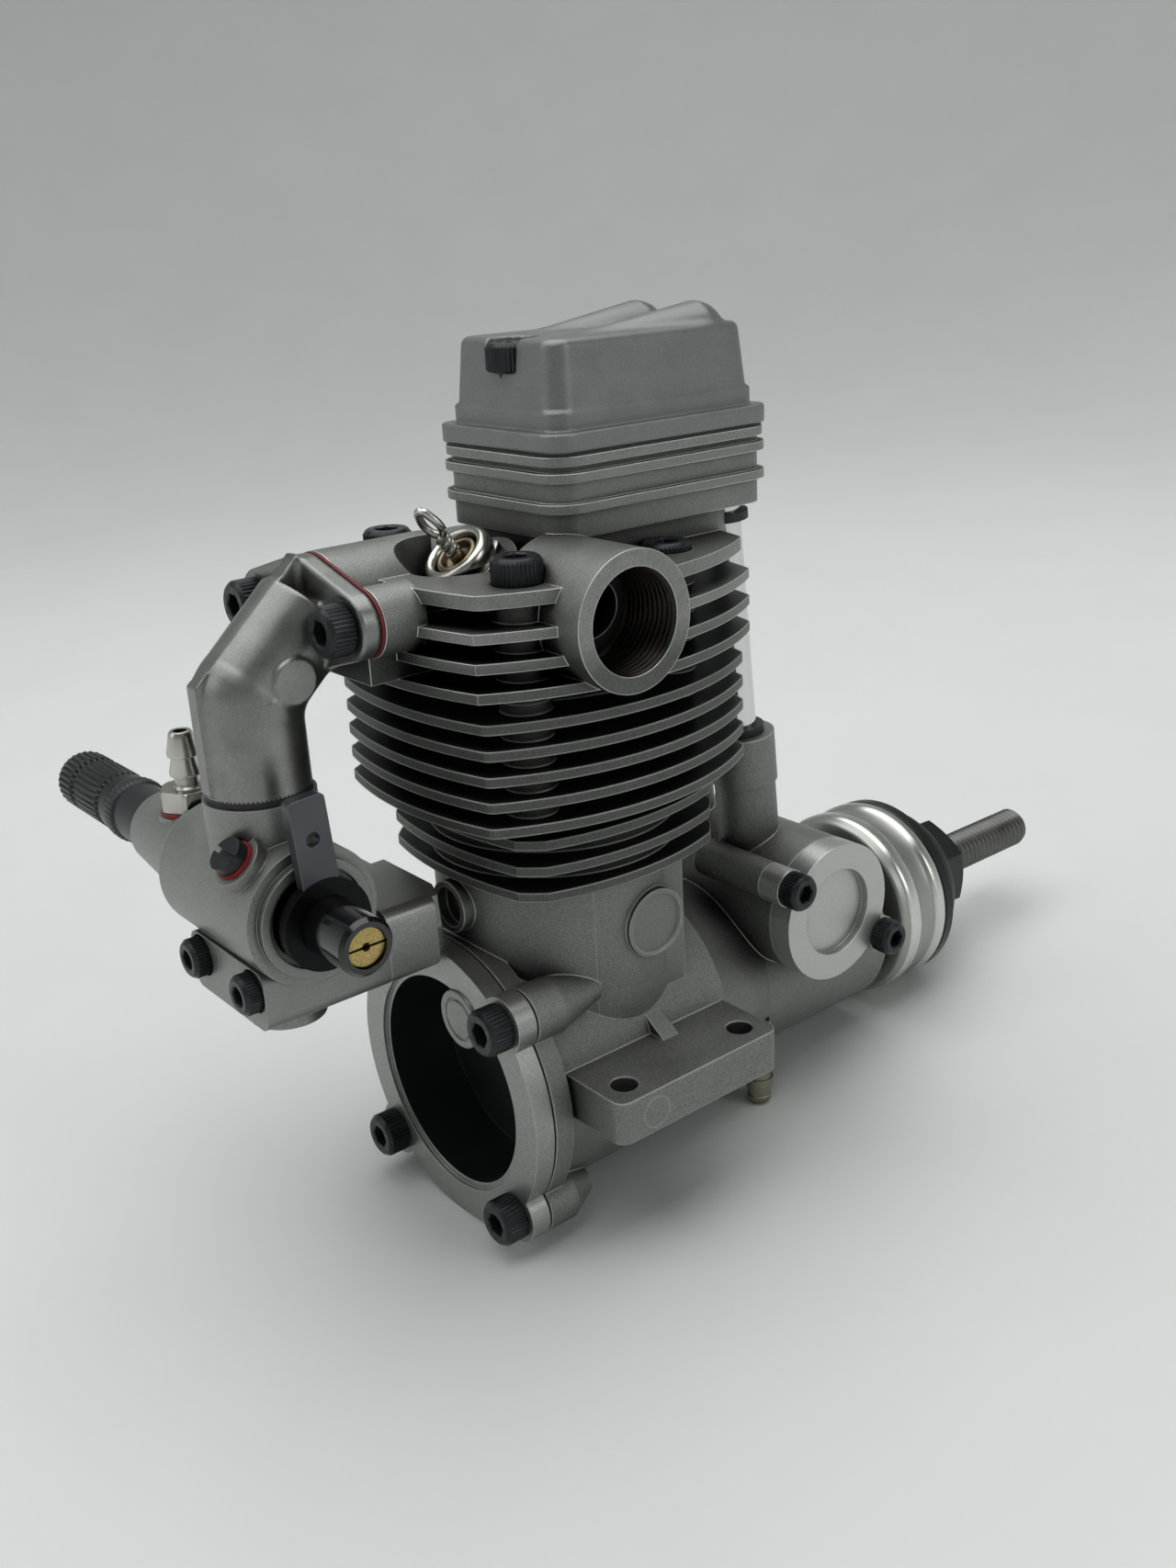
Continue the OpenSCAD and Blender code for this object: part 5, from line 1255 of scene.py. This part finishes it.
class ENGINE_OT_marks(bpy.types.Operator):
    """Makes the mixture screw's end and the round marks that the moulds left"""

    bl_idname = "engine.marks"
    bl_label = "Small marks"

    def execute(self, context):
        self.mixture_screw()
        rows = [(-4, 0), (-4, 3.6), (0.1, 3.6), (0.25, 3.5), (0.3, 3.35), (0.3, 2.75), (0.25, 2.65),
                (0.1, 2.6), (0.1, 2.35), (0.25, 2.3), (0.3, 2.2), (0.3, 0)]
        turned_piece("cover_button", "carb", "engine_block", None, rows,
                     (4.3, -18.4, 10.1), REARWARDS, 72, 40.0)
        rows = [(-0.3, 1.7), (0.01, 1.74), (0.04, 1.85), (0.01, 1.96), (-0.3, 2.0), (-0.3, 1.7)]
        turned_piece("lug_ring", "casting", "engine_block", None, rows,
                     (25.35, -7.2, 2.4), ALONG_X, 48, 40.0)
        return {"FINISHED"}

    def mixture_screw(self):
        """Each half of the end face runs from the slot's edge, a chord at the slot's half
        width, out to the rim: a point is chord + share * (arc - chord)."""
        lo, hi = node_box("idle_screw")
        end, back, r, half = hi[0], lo[0], (hi[2] - lo[2]) / 2, 0.14
        start = math.asin(half / r)
        a = np.linspace(start, np.pi - start, 49)
        shell = Shell()
        for side in (1, -1):
            arc = np.stack([r * np.cos(a), r * np.sin(a)], axis=1)
            chord = np.stack([arc[:, 0], np.full(len(a), half)], axis=1)
            rows = [(chord, -0.6), (chord, 0.0)]
            rows += [(chord + k * (arc - chord), 0.0) for k in (0.25, 0.5, 0.75, 0.94)]
            rows += [(arc, -0.12), (arc, back - end), (chord, back - end), (chord, -0.6)]
            points = np.array([np.stack([np.full(len(a), end + depth), CARB_Y + flat[:, 0],
                                         BARREL_Z + side * flat[:, 1]], axis=1)
                               for flat, depth in rows])
            shell.grid(points, wrap_v=False)
        floor = np.array([[[x, CARB_Y + u, BARREL_Z + v] for u in (-r * 0.98, r * 0.98)]
                          for x, v in ((back, -half), (end - 0.6, -half), (end - 0.6, half),
                                       (back, half))])
        shell.grid(floor, wrap_u=True, wrap_v=False)
        piece = shell.make("mixture_screw_turned", "idle_adjuster", ("idle_screw",), 30.0)
        give_finish(piece, "brass")


class ENGINE_OT_springs(bpy.types.Operator):
    """Winds the valve springs"""

    bl_idname = "engine.springs"
    bl_label = "Valve springs"

    def execute(self, context):
        """The wire's centre is at the angle 2 pi * turns * s, and its height rises with the
        integral of a pitch that is the wire's own thickness in the end turns."""
        turns, wire, lift = 5.6, 0.4, 1.95
        s = np.linspace(0, 1, 280)
        for side in ("intake", "exhaust"):
            lo, hi = node_box(f"{side}_spring")
            radius = (hi[0] - lo[0]) / 2 - wire
            tall = hi[2] - lo[2] - 2 * wire
            closed = 2 * wire * 1.05 * turns
            share = np.clip((np.minimum(s, 1 - s) * turns - 0.75) / 0.5, 0, 1)
            loose = np.concatenate([[0], np.cumsum(share[1:] + share[:-1])])
            rise = closed * s + (tall - closed) * loose / loose[-1]
            a = 2 * np.pi * turns * s
            centre = np.stack([(lo[0] + hi[0]) / 2 + radius * np.cos(a),
                               (lo[1] + hi[1]) / 2 + radius * np.sin(a),
                               lo[2] + wire + rise], axis=-1)
            shell = Shell()
            tube(shell, centre, wire, 10)
            piece = shell.make(f"{side}_coil", "engine_block",
                               (f"{side}_spring",), 60.0)
            give_finish(piece, "machined")
            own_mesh(piece)
        return {"FINISHED"}


class ENGINE_OT_port(bpy.types.Operator):
    """Threads the mouth of the exhaust port"""

    bl_idname = "engine.port"
    bl_label = "Exhaust thread"

    def execute(self, context):
        face, y, z, r = 21.5, -4.2, 57.0, 5.7
        heights, cut = threaded(face - 7.8, face - 0.5, -0.24, 0.75)
        rows = [(face - 8.0, r + 0.2), (face - 8.0, r - 0.3)] + [(h, r) for h in heights]
        rows += [(face - 0.35, r - 0.02), (face - 0.05, r + 0.15), (face - 0.3, r + 0.25),
                 (face - 8.0, r + 0.2)]
        last = 2 + len(heights)

        def shape(radius, t):
            out = radius.copy()
            out[2:last] = cut(heights[:, None], out[2:last] - 0.24, t)
            return out

        turned_piece("port_thread", "port", "engine_block", None, rows, (0, y, z),
                     ALONG_X, 80, 40.0, shape)
        return {"FINISHED"}


# Stage

def camera_axes():
    """Right, up and back of the camera: the level axes turned by the roll."""
    turn, drop, roll = (math.radians(a) for a in (CAMERA_TURN, CAMERA_DROP, CAMERA_ROLL))
    ahead = Vector((-math.sin(turn) * math.cos(drop), math.cos(turn) * math.cos(drop),
                    -math.sin(drop)))
    level = Vector((math.cos(turn), math.sin(turn), 0))
    upward = level.cross(ahead)
    right = level * math.cos(roll) + upward * math.sin(roll)
    up = upward * math.cos(roll) - level * math.sin(roll)
    return right, up, -ahead


def place_camera():
    """The camera stands and looks as the photograph's did."""
    right, up, back = camera_axes()
    data = bpy.data.cameras.new("camera")
    data.sensor_fit = "VERTICAL"
    data.sensor_height = 36.0
    data.lens = CAMERA_LENS
    data.clip_start = 0.005
    data.clip_end = 20.0
    camera = bpy.data.objects.new("camera", data)
    bpy.context.collection.objects.link(camera)
    turn = Matrix((right, up, back)).transposed().to_4x4()
    camera.matrix_world = Matrix.Translation(Vector(CAMERA_AT) * MM) @ turn
    bpy.context.scene.camera = camera


def place_backdrop():
    """A round room of paper: a flat floor that curves up into an upright wall.

    Its profile is a straight run, a quarter circle and a straight rise, turned about Z.
    The engine rests on its back cover and propeller driver, so the floor leans with them.
    """
    turn = math.radians(CAMERA_TURN)
    ahead = np.array([-math.sin(turn), math.cos(turn), 0.0])
    side = np.array([math.cos(turn), math.sin(turn), 0.0])
    run, bend, rise = 0.45, 0.55, 1.6
    climb = np.linspace(0, np.pi / 2, 24)
    flat = np.stack([np.linspace(0.0, run, 12)[:-1], np.zeros(11)], axis=1)
    curve = np.stack([run + bend * np.sin(climb), bend * (1 - np.cos(climb))], axis=1)
    wall = np.stack([np.full(6, run + bend), np.linspace(bend, rise, 6)], axis=1)[1:]
    profile = np.vstack([flat, curve, wall])
    a = circle(120)
    spokes = np.cos(a)[:, None] * ahead + np.sin(a)[:, None] * side
    points = (profile[:, None, 0, None] * spokes[None]
              + profile[:, None, 1, None] * np.array([0, 0, 1.0]))
    low_back, low_front, back_y, apart = (n * MM for n in (-17.75, -13.45, -18.0, 73.0))
    points[..., 2] += low_back + (points[..., 1] - back_y) * (low_front - low_back) / apart
    nu, nv = points.shape[:2]
    index = np.arange(nu * nv).reshape(nu, nv)
    after = np.roll(index, -1, axis=1)
    quads = np.stack([index[:-1], after[:-1], after[1:], index[1:]], axis=-1)
    mesh = bpy.data.meshes.new("backdrop")
    mesh.from_pydata(points.reshape(-1, 3), [], quads.reshape(-1, 4).tolist())
    join_points(mesh, outwards=False)
    mesh.materials.append(paper_finish(ahead))
    room = bpy.data.objects.new("backdrop", mesh)
    bpy.context.collection.objects.link(room)


def paper_finish(ahead):
    """Pale paper with painted shade: it darkens with the distance ahead, a painted falloff of the
    lamps' light, and up the wall at the sides and behind the camera."""
    near, far = 0.14, 0.72
    wall_from, wall_full = 0.55, -0.1
    material, nodes, links, shader = fresh_material("pale_paper")
    paper = tuple(colours().backdrop)
    tone = ramp(nodes, links, noise(nodes, links, 40.0, 3.0), scaled(paper, 0.985),
                scaled(paper, 1.015))
    where = nodes.new("ShaderNodeTexCoord")
    away = nodes.new("ShaderNodeVectorMath")
    away.operation = "DOT_PRODUCT"
    away.inputs[1].default_value = ahead
    links.new(where.outputs["Object"], away.inputs[0])
    # Painted falloff: the paper darkens ahead as if the light fell off with distance.
    painted_falloff = map_range(nodes, links, away.outputs["Value"], near, far, 1.0, 0.68, smooth=True)
    tone = blend_colour(nodes, links, "MULTIPLY", 1.0, tone, painted_falloff)
    parts = nodes.new("ShaderNodeSeparateXYZ")
    links.new(where.outputs["Object"], parts.inputs["Vector"])
    # Painted shade: the wall darkens at the sides and behind the camera.
    grey = map_range(nodes, links, away.outputs["Value"], wall_from, wall_full, 0.0, 0.5,
                     smooth=True)
    low = below(nodes, links, parts.outputs["Z"], 0.02, 0.35)
    share = calc(nodes, links, "MULTIPLY", grey, calc(nodes, links, "SUBTRACT", low, 1.0))
    tone = blend_colour(nodes, links, "MULTIPLY", 1.0, tone, calc(nodes, links, "ADD", share, 1.0))
    links.new(tone, shader.inputs["Base Color"])
    shader.inputs["Roughness"].default_value = 0.6
    return material


def place_lamp(name, at, size, power):
    """A white panel that faces a point just over the middle of the floor."""
    aim = (0, 0, 0.03)
    data = bpy.data.lights.new(name, "AREA")
    data.shape = "RECTANGLE"
    data.size, data.size_y = size
    data.energy = power
    lamp = bpy.data.objects.new(name, data)
    bpy.context.collection.objects.link(lamp)
    lamp.location = at
    lamp.rotation_euler = (Vector(aim) - Vector(at)).to_track_quat("-Z", "Y").to_euler()


def place_world():
    """A dim grey room, which the metals mirror."""
    world = bpy.data.worlds.new("room")
    world.use_nodes = True
    room = world.node_tree.nodes["Background"]
    room.inputs["Color"].default_value = (0.62, 0.64, 0.635, 1)
    room.inputs["Strength"].default_value = 0.36
    bpy.context.scene.world = world


class ENGINE_OT_stage(bpy.types.Operator):
    """Places the camera, the paper backdrop and the soft lamps"""

    bl_idname = "engine.stage"
    bl_label = "Stage"

    def execute(self, context):
        context.scene.view_settings.view_transform = "Standard"
        place_camera()
        place_backdrop()
        place_world()
        place_lamp("overhead", (-0.1, 0.0, 0.75), (1.1, 0.95), 6.6)
        place_lamp("window", (-0.35, -0.75, 0.5), (0.6, 0.5), 1.0)
        place_lamp("far_side", (0.8, 0.3, 0.45), (0.4, 0.5), 1.3)
        return {"FINISHED"}


class ENGINE_PT_panel(bpy.types.Panel):
    """Lists the steps that dress the engine"""

    bl_label = "Engine"
    bl_idname = "ENGINE_PT_panel"
    bl_space_type = "VIEW_3D"
    bl_region_type = "UI"
    bl_category = "Engine"

    def draw(self, context):
        for step in STEPS:
            self.layout.operator(step.bl_idname)
        for group in (context.scene.engine_sizes, context.scene.engine_colours):
            for name in group.__annotations__:
                self.layout.prop(group, name)


STEPS = (ENGINE_OT_finishes, ENGINE_OT_screws, ENGINE_OT_plug, ENGINE_OT_cover, ENGINE_OT_elbow,
         ENGINE_OT_shaft, ENGINE_OT_driver, ENGINE_OT_needle, ENGINE_OT_marks, ENGINE_OT_port,
         ENGINE_OT_springs, ENGINE_OT_stage)
CLASSES = (EngineSizes, EngineColours, *STEPS, ENGINE_PT_panel)


def register():
    for cls in CLASSES:
        bpy.utils.register_class(cls)
    bpy.types.Scene.engine_sizes = bpy.props.PointerProperty(type=EngineSizes)
    bpy.types.Scene.engine_colours = bpy.props.PointerProperty(type=EngineColours)


def unregister():
    del bpy.types.Scene.engine_colours
    del bpy.types.Scene.engine_sizes
    for cls in reversed(CLASSES):
        bpy.utils.unregister_class(cls)


def main():
    """Dresses the engine step by step."""
    register()
    for step in STEPS:
        getattr(bpy.ops.engine, step.bl_idname.split(".")[1])()


if __name__ == "__main__":
    main()
